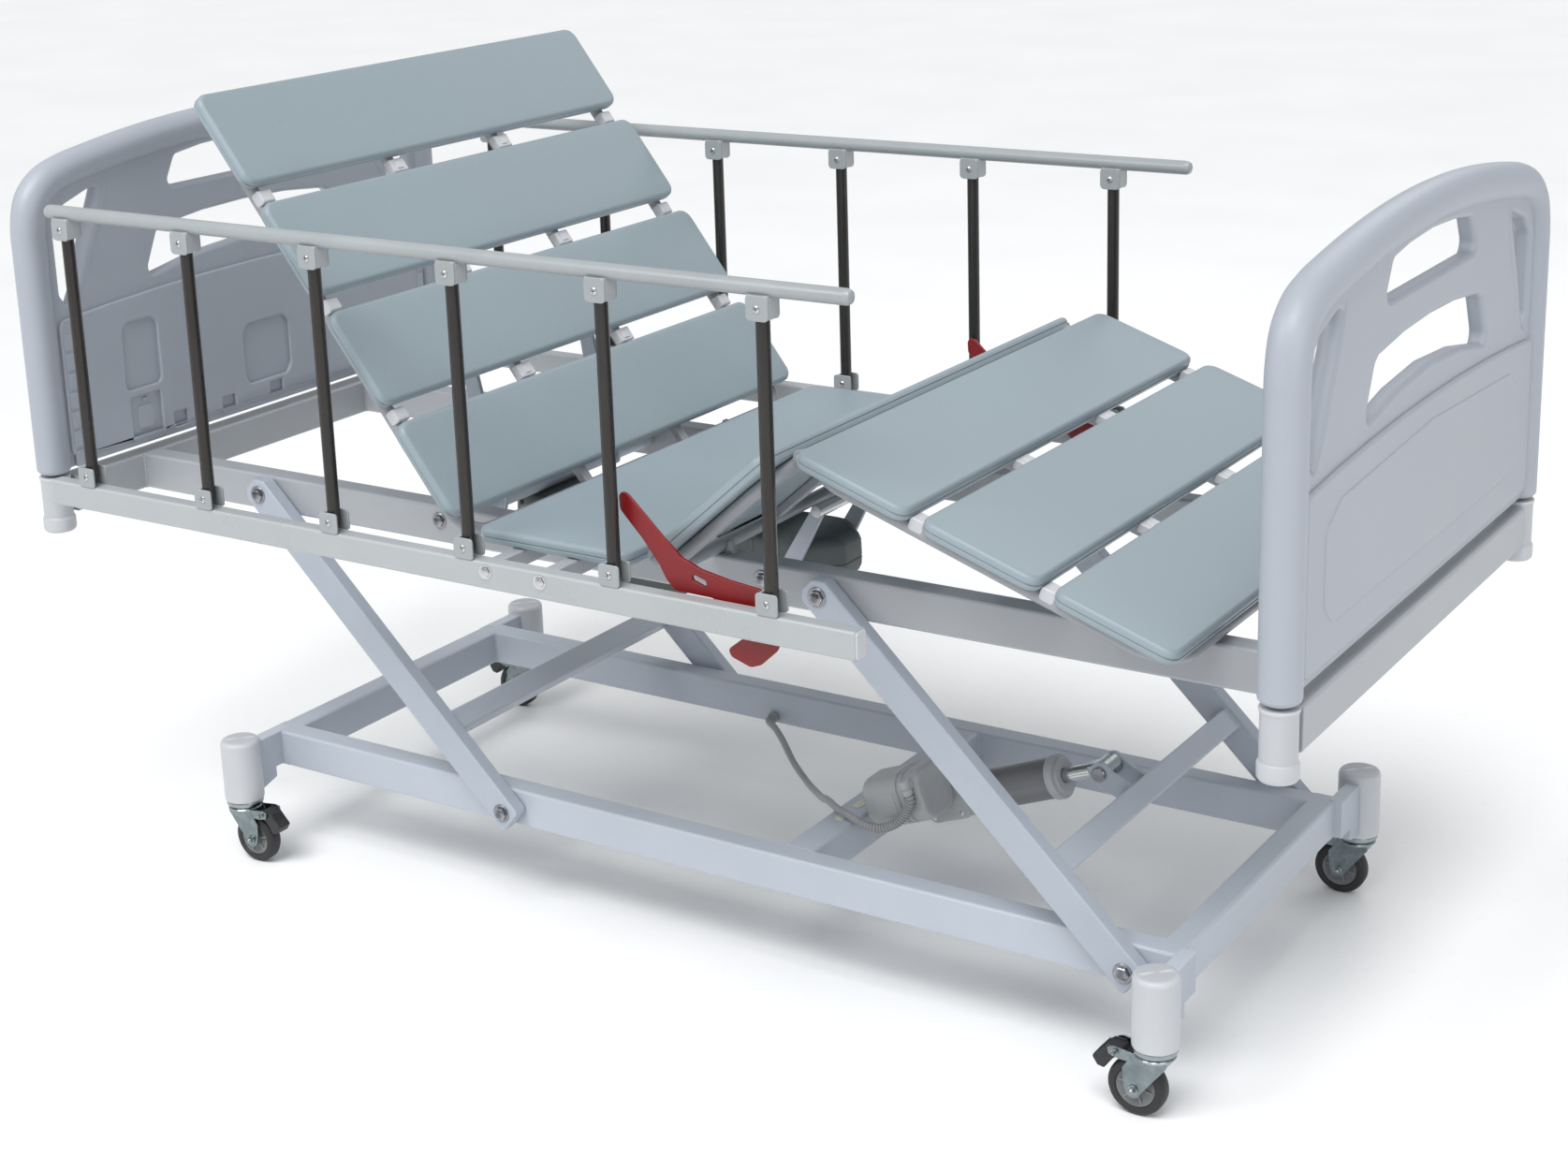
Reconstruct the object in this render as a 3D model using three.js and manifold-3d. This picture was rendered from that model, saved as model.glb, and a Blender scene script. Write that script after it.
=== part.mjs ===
// Adjustable hospital bed: hi-lo base on castors, profiling slatted deck, folding side guards.
// Millimetres, +Z up, +X towards the foot end, origin on the floor under the middle of the bed.
import * as THREE from "three";
import { mergeVertices } from "three/addons/utils/BufferGeometryUtils.js";
import Module from "manifold-3d";

const wasm = await Module();
wasm.setup();

// ---------------------------------------------------------------- driving dimensions
const GAP = 0.3; // clearance between touching pieces
const BASE = { head: -770, foot: 830, y: 272, tube: 40, low: 134, high: 194 };
const POST = { head: -776, foot: 852, y: 374, r: 32, low: 105, high: 209 };
const CASTOR = { r: 41, width: 24, trail: 24 };
const ARM = { length: 648, tilt: 44.2, wide: 50, thick: 25, inner: 294, cross: 162 };
const ARM_PIVOT = { head: -276, foot: 779, z: 163 };
const LIFT = { x: 285, z: 177, clevis: [-221.7, -23] };
const RAIL = { end: 1045, y: 272, tube: 40, low: 580, high: 640 };
const BOARD = { x: 1045, y: 465, r: 27, low: 646, top: 1165, shoulder: 1138 };
const DECK = { tube: 10, y: 425, slatY: 455, slat: 22, z: 650.5 };
const BACK = { x: -219, tilt: 52.7, length: 752, first: 30, slat: 160, gap: 32 };
const THIGH = { x: 128, tilt: 41, knee: 290 };
const CALF = { tilt: 19, length: 575, first: 15, slat: 175, gap: 22 };
const SEAT = { from: -176, to: 92 };
const GUARD = { y: 511.5, first: -900.7, pitch: 253.6, posts: 6, low: 674, high: 1070, tube: 1094 };
const OUTRIGGERS = [-102, -6];
const TORSION = { back: -385, z: 612, r: 15 };
const KNEE_LEVER = { x: 112, z: 552, r: 12, length: 114.4, angle: 60.3 };
const CABLE = { r: 6, from: [-139, 238, 147], entry: [84, -132, 50] };

// ---------------------------------------------------------------- materials
const paint = (color, roughness = 0.45, metalness = 0.1) =>
  new THREE.MeshStandardMaterial({ color, roughness, metalness });
const M = {
  base: paint(0xb4bccb),
  frame: paint(0xcdd0d3),
  slat: paint(0xa9b9c1, 0.5, 0),
  board: paint(0xb9c2cc, 0.4, 0),
  white: paint(0xd6d8da, 0.4, 0),
  steel: paint(0x55524e, 0.25, 1),
  zinc: paint(0x8f9aa0, 0.35, 1),
  black: paint(0x17181a, 0.6, 0),
  red: paint(0x96100f, 0.4, 0.2),
  drive: paint(0x4d5653, 0.5, 0),
  motor: paint(0x8a8e92, 0.5, 0),
  rod: paint(0xa8aaad, 0.2, 1),
  cable: paint(0x9b9ca0, 0.6, 0),
};

// ---------------------------------------------------------------- solid helpers
function solid(geometry) {
  const flat = geometry.index ? geometry.toNonIndexed() : geometry;
  const bare = new THREE.BufferGeometry().setAttribute("position", flat.getAttribute("position"));
  const merged = mergeVertices(bare, 1e-3);
  return new wasm.Manifold(
    new wasm.Mesh({
      numProp: 3,
      vertProperties: merged.attributes.position.array,
      triVerts: new Uint32Array(merged.index.array),
    }),
  );
}

const joined = (pieces) => pieces.flat(Infinity).reduce((a, b) => a.add(b));

function geometryOf(made) {
  const { vertProperties, triVerts, numProp } = made.getMesh();
  const position = new Float32Array((vertProperties.length / numProp) * 3);
  for (let i = 0; i < position.length / 3; i++) {
    position.set(vertProperties.subarray(i * numProp, i * numProp + 3), i * 3);
  }
  const g = new THREE.BufferGeometry().setAttribute("position", new THREE.BufferAttribute(position, 3));
  g.setIndex(new THREE.BufferAttribute(new Uint32Array(triVerts), 1));
  g.computeVertexNormals();
  return g;
}

// A named mesh from one solid, or from several that are joined.
function part(name, pieces, material) {
  const mesh = new THREE.Mesh(geometryOf(joined([pieces])), material);
  mesh.name = name;
  return mesh;
}

function box(x, y, z) {
  const g = new THREE.BoxGeometry(x[1] - x[0], y[1] - y[0], z[1] - z[0]);
  return solid(g.translate((x[0] + x[1]) / 2, (y[0] + y[1]) / 2, (z[0] + z[1]) / 2));
}

// A solid of revolution about a line through `at`, from [radius, distance] pairs that start and end on it.
function turned(axis, at, profile, sides = 16) {
  const points = profile.map(([r, h]) => new THREE.Vector2(r, h));
  const g = new THREE.LatheGeometry(points, sides);
  if (axis === "x") g.rotateZ(-Math.PI / 2);
  if (axis === "z") g.rotateX(Math.PI / 2);
  return solid(g.translate(...at));
}

const rod = (axis, at, r, from, to, sides = 12) =>
  turned(axis, at, [[0, from], [r, from], [r, to], [0, to]], sides);

// An outline pushed along Z by `depth`.
function prism(points, depth) {
  const shape = new THREE.Shape(points.map(([a, b]) => new THREE.Vector2(a, b)));
  return new THREE.ExtrudeGeometry(shape, { depth, bevelEnabled: false });
}

// An outline in the XZ plane, pushed along Y, with round holes.
function plateXZ(points, y, holes = []) {
  const made = solid(prism(points, y[1] - y[0]).rotateX(Math.PI / 2).translate(0, y[1], 0));
  return holes.reduce((a, h) => a.subtract(rod("y", [h.at[0], 0, h.at[1]], h.r, y[0] - 1, y[1] + 1, 10)), made);
}

// An outline in the YZ plane, pushed along X, with windows of any outline.
function plateYZ(points, x, holes = []) {
  const [from, to] = x;
  const push = (outline, a, b) =>
    solid(prism(outline, b - a).rotateX(Math.PI / 2).rotateZ(Math.PI / 2).translate(a, 0, 0));
  return holes.reduce((a, h) => a.subtract(push(h, from - 1, to + 1)), push(points, from, to));
}

// A round tube along a polyline with mitred corners, closed into a loop or capped at both ends.
function tube(path, r, { sides = 8, loop = false } = {}) {
  const p = path.map((v) => new THREE.Vector3(...v));
  const n = p.length;
  const dir = (i, j) => p[(j + n) % n].clone().sub(p[(i + n) % n]).normalize();
  const across = dir(0, 1).cross(dir(1, 2)).normalize();
  const vertices = [];
  for (let i = 0; i < n; i++) {
    const open = !loop && (i === 0 || i === n - 1);
    const a = open && i === 0 ? dir(0, 1) : dir(i - 1, i);
    const b = open && i === n - 1 ? a : dir(i, i + 1);
    const mid = a.clone().add(b).normalize();
    const side = new THREE.Vector3().crossVectors(across, mid).normalize();
    const stretch = 1 / mid.dot(a);
    for (let k = 0; k < sides; k++) {
      const t = ((k + 0.5) / sides) * Math.PI * 2;
      const v = p[i].clone().addScaledVector(side, Math.cos(t) * r * stretch);
      vertices.push(v.addScaledVector(across, Math.sin(t) * r));
    }
  }
  const index = [];
  const rings = loop ? n : n - 1;
  for (let i = 0; i < rings; i++) {
    const u = i * sides;
    const w = ((i + 1) % n) * sides;
    for (let k = 0; k < sides; k++) {
      const m = (k + 1) % sides;
      index.push(u + k, w + m, u + m, u + k, w + k, w + m);
    }
  }
  if (!loop) {
    const last = (n - 1) * sides;
    for (let k = 1; k < sides - 1; k++) index.push(0, k, k + 1, last, last + k + 1, last + k);
  }
  const g = new THREE.BufferGeometry().setFromPoints(vertices).setIndex(index);
  const made = solid(g);
  return made.volume() < 0 ? solid(flipped(g)) : made;
}

function flipped(geometry) {
  const index = [...geometry.index.array];
  for (let i = 0; i < index.length; i += 3) [index[i], index[i + 1]] = [index[i + 1], index[i]];
  return geometry.clone().setIndex(index);
}

// The corners of a rectangle rounded off, as a list of points.
function rounded(x, y, r, steps = 3) {
  const corners = [[x[1], y[1], 0], [x[0], y[1], 90], [x[0], y[0], 180], [x[1], y[0], 270]];
  return corners.flatMap(([cx, cy, start]) => {
    const ox = cx - Math.sign(cx - (x[0] + x[1]) / 2) * r;
    const oy = cy - Math.sign(cy - (y[0] + y[1]) / 2) * r;
    return Array.from({ length: steps + 1 }, (_, i) => {
      const t = THREE.MathUtils.degToRad(start + (90 * i) / steps);
      return [ox + r * Math.cos(t), oy + r * Math.sin(t)];
    });
  });
}

// A moulded slat lying in the XY plane: rounded corners and eased edges.
function slat(x, z) {
  const ease = 5;
  const outline = rounded([x[0] + ease, x[1] - ease], [-DECK.slatY + ease, DECK.slatY - ease], 16);
  const shape = new THREE.Shape(outline.map(([a, b]) => new THREE.Vector2(a, b)));
  const g = new THREE.ExtrudeGeometry(shape, {
    depth: DECK.slat - 2 * ease,
    bevelSize: ease,
    bevelThickness: ease,
    bevelSegments: 1,
  });
  return solid(g.translate(0, 0, z + ease));
}

const root = new THREE.Group();

// A group whose meshes are drawn about a hinge line parallel to Y and turned by `tilt` degrees.
function section(x, z, tilt, meshes) {
  const group = new THREE.Group();
  group.position.set(x, 0, z);
  group.rotation.y = THREE.MathUtils.degToRad(tilt);
  group.add(...meshes);
  root.add(group);
}

const both = [-1, 1];
const span = (a, half) => [a - half, a + half];
// An interval of Y on one side of the bed, from its distances to the centre plane.
const sideY = (s, a, b) => (s < 0 ? [-b, -a] : [a, b]);

// ---------------------------------------------------------------- base frame
const BOLT = { r: 7, head: 12 };
const outerFace = RAIL.y + RAIL.tube / 2;
// A pivot bolt through an arm: shank from the rail's outer face and a head outside the arm.
function pivotBolt(x, z, s) {
  const end = ARM.inner + ARM.thick + GAP;
  const shank = rod("y", [x, 0, z], BOLT.r, ...sideY(s, outerFace - 5, end + 2), 10);
  return shank.add(rod("y", [x, 0, z], BOLT.head, ...sideY(s, end, end + 7), 10));
}

function baseFrame() {
  const half = BASE.tube / 2;
  const z = [BASE.low, BASE.high];
  const pieces = [
    box(span(BASE.head, half), [-BASE.y - half, BASE.y + half], z),
    box(span(BASE.foot, half), [-BASE.y - half, BASE.y + half], z),
    box([205, 255], [-BASE.y, BASE.y], z),
  ];
  for (const s of both) {
    pieces.push(box([BASE.head, BASE.foot], span(s * BASE.y, half), z));
    for (const x of [POST.head, POST.foot]) {
      const dome = [[0, POST.low], [POST.r, POST.low], [POST.r, POST.high - 6], [POST.r - 6, POST.high], [0, POST.high]];
      pieces.push(turned("z", [x, s * POST.y, 0], dome, 16));
      const web = [[BASE.y, 196], [POST.y - 20, 196], [POST.y - 20, 110], [POST.y - 36, 110], [308, 119], [308, 136], [BASE.y, 136]];
      pieces.push(plateYZ(web.map(([y, h]) => [s * y, h]), span(x, 12)));
    }
    pieces.push(pivotBolt(ARM_PIVOT.head, ARM_PIVOT.z, s), pivotBolt(ARM_PIVOT.foot, ARM_PIVOT.z, s));
    const lug = [[-35, -24], [6, -18], [15, -8], [15, 8], [6, 16], [-35, 16]].map(([a, b]) => [LIFT.x + a, LIFT.z + b]);
    pieces.push(plateXZ(lug, sideY(s, 21, 28)));
  }
  const [gx, gy, gz] = CABLE.from;
  pieces.push(rod("y", [gx, 0, gz], 8, gy, BASE.y - half + 1, 10));
  return pieces;
}
root.add(part("base_frame", baseFrame(), M.base));

// ---------------------------------------------------------------- castors
for (const [end, x] of [["head", POST.head], ["foot", POST.foot]]) {
  for (const s of both) {
    const tag = end + (s < 0 ? "_right" : "_left");
    const away = tag === "head_right" ? 1 : -1;
    const axle = CASTOR.trail;
    const cheek = [[-22, 94], [24, 94], [axle + 14, 48], [axle + 9, 30], [axle - 9, 30], [axle - 14, 40]];
    const fork = [
      rod("z", [0, 0, 0], 25, 88, POST.low - GAP, 14),
      both.map((k) => plateXZ(cheek, sideY(k, 14.5, 18))),
      rod("y", [axle, 0, CASTOR.r], 4, -22, 22, 6),
    ];
    const w = CASTOR.width / 2;
    const tyre = [[4.4, -13.5], [12, -13.5], [36, -w], [CASTOR.r, -w + 5],
      [CASTOR.r, w - 5], [36, w], [12, 13.5], [4.4, 13.5], [4.4, -13.5]];
    const pedal = plateXZ([[14, 84], [44, 84], [60, 72], [68, 58], [78, 60], [86, 72], [74, 84], [66, 93], [44, 93], [40, 87], [14, 87]], [-13, 13]);
    const castor = new THREE.Group();
    castor.add(
      part(`castor_fork_${tag}`, fork, M.zinc),
      part(`castor_wheel_${tag}`, turned("y", [axle, 0, CASTOR.r], tyre, 18), M.black),
      part(`castor_brake_${tag}`, pedal, M.black),
    );
    castor.position.set(x, s * POST.y, 0);
    if (away < 0) castor.rotation.z = Math.PI;
    root.add(castor);
  }
}

// ---------------------------------------------------------------- lift arms
// Drawn along -X from the lower pivot and turned up to the stored height.
function liftArms(clevis) {
  const h = ARM.wide / 2;
  const outline = [[-ARM.length - 12, -h], [23, -h], [19, h], [-ARM.length - 8, h], [-ARM.length - 24, 10], [-ARM.length - 24, -h + 12]];
  const holes = [{ at: [0, 0], r: BOLT.r + 0.7 }, { at: [-ARM.length, 0], r: BOLT.r + 0.7 }];
  const pieces = both.map((s) => plateXZ(outline, sideY(s, ARM.inner, ARM.inner + ARM.thick), holes));
  pieces.push(box(span(-ARM.cross, 18), [-ARM.inner - 2, ARM.inner + 2], [-18, 18]));
  if (clevis) {
    const [cx, cz] = LIFT.clevis;
    const lug = [[cx - 16, cz - 8], [cx - 10, cz - 16], [cx + 8, cz - 16], [-150, -16], [-150, 16],
      [cx + 12, cz + 18], [cx - 8, cz + 16], [cx - 16, cz + 8]];
    for (const s of both) {
      pieces.push(plateXZ(lug, sideY(s, 20, 27)), rod("y", [cx, 0, cz], 8, ...sideY(s, 26, 33), 8));
    }
  }
  return pieces;
}
section(ARM_PIVOT.head, ARM_PIVOT.z, ARM.tilt, [part("head_lift_arms", liftArms(false), M.base)]);
section(ARM_PIVOT.foot, ARM_PIVOT.z, ARM.tilt, [part("foot_lift_arms", liftArms(true), M.base)]);

// ---------------------------------------------------------------- height actuator
const tilt = THREE.MathUtils.degToRad(ARM.tilt);
const [clevisX, clevisZ] = LIFT.clevis;
const eye = {
  x: ARM_PIVOT.foot + clevisX * Math.cos(tilt) + clevisZ * Math.sin(tilt),
  z: ARM_PIVOT.z - clevisX * Math.sin(tilt) + clevisZ * Math.cos(tilt),
};
const reach = Math.hypot(eye.x - LIFT.x, eye.z - LIFT.z);
const rise = THREE.MathUtils.radToDeg(Math.atan2(eye.z - LIFT.z, eye.x - LIFT.x));
const eyeRing = (x, bore) => turned("y", [x, 0, 0], [[bore, -19.5], [16, -19.5], [16, 19.5], [bore, 19.5], [bore, -19.5]], 12);
const sleeve = [[11.5, 105], [32, 105], [32, 252], [34, 254], [34, 266], [29, 271], [11.5, 271], [11.5, 105]];
section(LIFT.x, LIFT.z, -rise, [
  part("height_actuator_body", [
    rod("y", [0, 0, 0], 15, -19.5, 19.5),
    box([0, 40], [-15, 15], [-12, 12]),
    plateXZ([[38, -20], [46, -28], [106, -28], [116, -20], [116, 40], [102, 64], [56, 68], [38, 54]], [-40, 32]),
    plateYZ(rounded([-124, -38], [-2, 78], 26), [-6, 100]),
    plateYZ(rounded([-114, -48], [8, 68], 20), [-16, -5]),
    rod("z", [CABLE.entry[0], CABLE.entry[1], 0], 8.5, CABLE.entry[2] + 5.6, CABLE.entry[2] + 22, 10),
    box(span(CABLE.entry[0], 8), [CABLE.entry[1], -112], [CABLE.entry[2] + 7, CABLE.entry[2] + 20]),
    turned("x", [0, 0, 0], sleeve, 16),
  ], M.motor),
  part("height_actuator_rod", [
    rod("x", [0, 0, 0], 11, 165, reach - 12),
    eyeRing(reach, 9),
  ], M.rod),
]);

// ---------------------------------------------------------------- upper frame
function upperFrame() {
  const half = RAIL.tube / 2;
  const z = [RAIL.low, RAIL.high];
  const cradleTop = DECK.z + 6;
  const pieces = [];
  for (const s of both) {
    pieces.push(box([-RAIL.end, RAIL.end], span(s * RAIL.y, half), z));
    pieces.push(box(span(s * RAIL.end, half), [-BOARD.y + 25 + GAP, BOARD.y - 25 - GAP], z));
    for (const x of [ARM_PIVOT.head, ARM_PIVOT.foot]) {
      const back = ARM.length * Math.cos(tilt);
      pieces.push(pivotBolt(x - back, ARM_PIVOT.z + ARM.length * Math.sin(tilt), s));
    }
    for (const x of [TORSION.back, 207]) {
      pieces.push(rod("y", [x, 0, TORSION.z], 12, ...sideY(s, outerFace - 2, outerFace + 7), 8));
    }
    for (const x of [BACK.x, THIGH.x]) {
      const cradle = [[x - 22, RAIL.high - 4], [x + 22, RAIL.high - 4], [x + 16, cradleTop], [x - 16, cradleTop]];
      const groove = rod("y", [x, 0, DECK.z], DECK.tube + 0.6, s * RAIL.y - 9, s * RAIL.y + 9, 16);
      pieces.push(plateXZ(cradle, span(s * RAIL.y, 5)).subtract(groove));
    }
  }
  for (const x of OUTRIGGERS) {
    const reachY = GUARD.y - 12.5 - GAP;
    pieces.push(box(span(x, 11), [-reachY, reachY], [RAIL.high - 4, RAIL.high + 20.4]));
    pieces.push(box(span(x, 15), [-RAIL.y, RAIL.y], [TORSION.z - 15, TORSION.z + 5]));
  }
  return pieces;
}
root.add(part("upper_frame", upperFrame(), M.frame));

for (const [end, e] of [["head", -1], ["foot", 1]]) {
  for (const s of both) {
    const foot = [[0, 553], [21, 553], [25, 558], [25, RAIL.high + 5.6], [0, RAIL.high + 5.6]];
    const name = `corner_socket_${end}_${s < 0 ? "right" : "left"}`;
    root.add(part(name, turned("z", [e * BOARD.x, s * BOARD.y, 0], foot, 16), M.white));
  }
}

// ---------------------------------------------------------------- head and foot boards
// Handle and side windows, as [y, z] outlines on the board's centre plane.
const mirrored = (points) => points.map(([y, z]) => [-y, z]).reverse();
const WINDOWS = {
  upper: [[-164, 1072], [164, 1072], [172, 1082], [152, 1120], [90, 1129], [0, 1133], [-90, 1129], [-152, 1120], [-172, 1082]],
  lower: [[-226, 934], [-120, 952], [0, 960], [120, 952], [226, 934], [232, 946], [208, 1000], [196, 1008],
    [100, 1018], [0, 1021], [-100, 1018], [-196, 1008], [-208, 1000], [-232, 946]],
  side: [[318, 1102], [396, 1076], [423, 1050], [423, 935], [414, 920], [404, 918], [392, 940]],
};

function board() {
  const arch = [-340, -230, -115, 0, 115, 230, 340].map((y) => [y, BOARD.top - (BOARD.top - BOARD.shoulder) * (y / 340) ** 2]);
  const right = [[-BOARD.y, BOARD.low], [-BOARD.y, 1056], [-452, 1094], [-422, 1118], [-385, 1130]];
  const left = mirrored(right);
  const spine = [...right, ...arch, ...left];
  const hoop = tube(spine.map(([y, z]) => [0, y, z]), BOARD.r, { sides: 10 });
  const inner = spine.map(([y, z], i) => (i === 0 || i === spine.length - 1 ? [y, BOARD.low + 8] : [y, z]));
  const holes = [WINDOWS.upper, WINDOWS.lower, WINDOWS.side, mirrored(WINDOWS.side)];
  return [hoop, plateYZ(inner, [-15, 15], holes)];
}
for (const [name, x] of [["headboard", -BOARD.x], ["footboard", BOARD.x]]) {
  const mesh = part(name, board(), M.board);
  mesh.position.x = x;
  root.add(mesh);
}

// ---------------------------------------------------------------- deck
const deckLoop = (x, r) => tube(rounded(x, [-DECK.y, DECK.y], r, 2).map(([a, b]) => [a, b, 0]), DECK.tube, { loop: true });
const stringers = (x) => both.map((s) => box(x, span(s * 130, 9), [-4, 10]));
const slatZ = DECK.tube + GAP;

const backSlats = [0, 1, 2, 3].map((i) => {
  const start = -BACK.first - i * (BACK.slat + BACK.gap);
  return part(`backrest_slat_${i + 1}`, slat([start - BACK.slat, start], slatZ), M.slat);
});
section(BACK.x, DECK.z, BACK.tilt, [
  part("backrest_frame", [deckLoop([-BACK.length, 0], 60), stringers([-BACK.length, 0])], M.frame),
  ...backSlats,
]);

root.add(part("seat_slat", slat([SEAT.from, SEAT.to], RAIL.high + 20.4 + GAP), M.slat));

const kneeLug = (from, to, y, hole) => both.map((s) => {
  const lug = [[from, -6], [to - 8, -10], [to, -6], [to, 6], [to - 8, 9.5], [from, 6]];
  return plateXZ(lug, sideY(s, ...y), hole ? [{ at: hole, r: 5.6 }] : []);
});
section(THIGH.x, DECK.z, -THIGH.tilt, [
  part("thigh_frame", [
    deckLoop([0, 268], 50),
    stringers([0, 268]),
    kneeLug(262, THIGH.knee + 11, [388, 394]),
    both.map((s) => rod("y", [THIGH.knee, 0, 0], 5, ...sideY(s, 393, 404), 10)),
  ], M.frame),
  part("thigh_slat", slat([12, 275], slatZ), M.slat),
]);

const knee = {
  x: THIGH.x + THIGH.knee * Math.cos(THREE.MathUtils.degToRad(THIGH.tilt)),
  z: DECK.z + THIGH.knee * Math.sin(THREE.MathUtils.degToRad(THIGH.tilt)),
};
const calfSlats = [0, 1, 2].map((i) => {
  const start = CALF.first + i * (CALF.slat + CALF.gap);
  return part(`calf_slat_${i + 1}`, slat([start, start + CALF.slat], slatZ), M.slat);
});
section(knee.x, knee.z, CALF.tilt, [
  part("calf_frame", [
    deckLoop([24, CALF.length], 60),
    stringers([24, CALF.length]),
    both.map((s) => plateXZ([[34, -6], [-3, -9], [-11, -4], [-11, 4], [-3, 9], [34, 6]], sideY(s, 395, 401),
      [{ at: [0, 0], r: 5.6 }])),
  ], M.frame),
  ...calfSlats,
]);

// ---------------------------------------------------------------- deck drive
const driveCase = plateXZ([[-420, 540], [-408, 524], [-240, 520], [165, 520], [180, 538], [180, 584], [166, 596.5], [-400, 596.5],
  [-420, 580]], [-70, 70]);
const drivePlan = prism([[-421, -70.5], [135, -70.5], [180.5, -25], [180.5, 25], [135, 70.5], [-421, 70.5]], 100).translate(0, 0, 510);
const driveBore = rod("y", [KNEE_LEVER.x, 0, KNEE_LEVER.z], KNEE_LEVER.r + 0.6, -71, 71, 12);
root.add(part("deck_drive", [
  driveCase.intersect(solid(drivePlan)).subtract(driveBore),
  plateXZ([[-235, 470], [-210, 458], [-120, 458], [-95, 470], [-80, 530], [-250, 530]], [-48, 48]),
], M.drive));

// A torsion tube with two levers and a roller bar, drawn flat and turned up by `angle`.
function torsionLever(name, [x, z], [tubeR, tubeY], leverY, [length, wide], angle) {
  const outline = [[-20, -12], [6, -wide], [length, -10], [length + 9, 0], [length, 10], [6, wide], [-20, 12]];
  section(x, z, -angle, [
    part(name, [
      rod("y", [0, 0, 0], tubeR, -tubeY, tubeY, 12),
      both.map((s) => plateXZ(outline, sideY(s, leverY, leverY + 8))),
      rod("y", [length, 0, 0], 10, -leverY - 12, leverY + 12, 8),
    ], M.base),
  ]);
}
torsionLever("backrest_lift_lever", [TORSION.back, TORSION.z], [TORSION.r, BASE.y - 20.5], 146, [280, 21], 101);
torsionLever("knee_lift_lever", [KNEE_LEVER.x, KNEE_LEVER.z], [KNEE_LEVER.r, 84], 74, [KNEE_LEVER.length, 14], KNEE_LEVER.angle);

// ---------------------------------------------------------------- side guards
// Drawn on the -Y side with Y measured outwards from the guard's own plane; the other side is mirrored.
const postX = Array.from({ length: GUARD.posts }, (_, i) => GUARD.first + i * GUARD.pitch);
// A fork bracket: a channel open on one side of the post, with a screw head on its outer cheek.
function bracket(x, z, web, [low, high]) {
  const channel = [[17, 14.5], [-17, 14.5], [-17, 11], [13, 11], [13, -11], [-17, -11], [-17, -14.5], [17, -14.5]];
  const outline = channel.map(([a, b]) => [x + web * a, b]);
  return [solid(prism(outline, high - low).translate(0, 0, low)), rod("y", [x, 0, z], 5, 14, 17.5, 6)];
}
const LATCH = { x: 335, z: 642 };
const latchShape = [[114, 762], [113, 781], [118, 787], [127, 785], [185, 731], [212, 708], [243, 696], [288, 688], [336, 683],
  [371, 656], [371, 623], [359, 600], [334, 577], [318, 571], [287, 581], [283, 591], [312, 614], [306, 636], [289, 651],
  [259, 659], [199, 660], [186, 674], [176, 692], [149, 726]];

function guardSide(tag, s) {
  const bolts = OUTRIGGERS.map((x) => rod("y", [x, 0, 648], 11, 13, 18, 6));
  const pivot = rod("y", [LATCH.x, 0, LATCH.z], 5, -25, -10, 10);
  const rail = part(`guard_rail_${tag}`, [
    box([-985, 501], [-12.5, 13.5], [622, 662]),
    postX.map((x) => bracket(x, GUARD.low, -1, [660, 692])),
    bolts,
    pivot,
    rod("y", [LATCH.x, 0, LATCH.z], 9, -28, -24.3, 10),
  ], M.white);
  const ends = [[0, -940], [7, -940], [11, -936], [11, 496], [7, 500], [0, 500]];
  const top = part(`guard_top_${tag}`, [
    turned("x", [0, 0, GUARD.tube], ends, 10),
    postX.map((x) => bracket(x, GUARD.high, 1, [GUARD.high - 16, GUARD.tube - 8])),
    postX.map((x) => box(span(x, 17), [-14, 14], [GUARD.tube - 10, GUARD.tube - 6])),
  ], M.white);
  const length = GUARD.high - GUARD.low;
  const profile = [[0, -9], [6, -7], [9.5, 0], [9.5, length], [6, length + 7], [0, length + 9]];
  const posts = postX.map((x, i) =>
    part(`guard_post_${tag}_${i + 1}`, turned("z", [x, 0, GUARD.low], profile, 8), M.steel));
  const latch = part(`guard_latch_${tag}`, plateXZ(latchShape, [-23.8, -18], [{ at: [LATCH.x, LATCH.z], r: 5.6 }]), M.red);
  const group = new THREE.Group();
  group.add(rail, top, ...posts, latch);
  group.position.y = s * GUARD.y;
  group.scale.y = s;
  root.add(group);
}
guardSide("right", -1);
guardSide("left", 1);

// ---------------------------------------------------------------- actuator cable
// From the gland on the far base rail, over the crossmember, to the strain relief on the motor.
const onActuator = (x, y, z) => new THREE.Vector3(x, y, z)
  .applyAxisAngle(new THREE.Vector3(0, 1, 0), THREE.MathUtils.degToRad(-rise))
  .add(new THREE.Vector3(LIFT.x, 0, LIFT.z));
const [entryX, entryY, entryZ] = CABLE.entry;
const hang = [[-139, 231, 147], [-133, 225, 146], [-116, 216, 142], [-91, 199, 132], [-44, 160, 115], [12, 113, 110],
  [76, 44, 130], [140, -38, 166], [168, -80, 190], [196, -112, 203], [226, -135, 206], [252, -144, 204], [276, -146, 197],
  [302, -142, 195], [326, -136, 206], [340, -133, 222]];
const route = [
  new THREE.Vector3(CABLE.from[0], CABLE.from[1] - GAP, CABLE.from[2]),
  ...hang.map((p) => new THREE.Vector3(...p)),
  onActuator(entryX, entryY, entryZ - GAP - 10),
  onActuator(entryX, entryY, entryZ - GAP),
];
const ring = new THREE.Shape(Array.from({ length: 8 }, (_, i) =>
  new THREE.Vector2(CABLE.r * Math.cos((i * Math.PI) / 4), CABLE.r * Math.sin((i * Math.PI) / 4))));
const sweep = { extrudePath: new THREE.CatmullRomCurve3(route), steps: 36 };
root.add(part("actuator_cable", solid(new THREE.ExtrudeGeometry(ring, sweep)), M.cable));

export default root;
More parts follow.
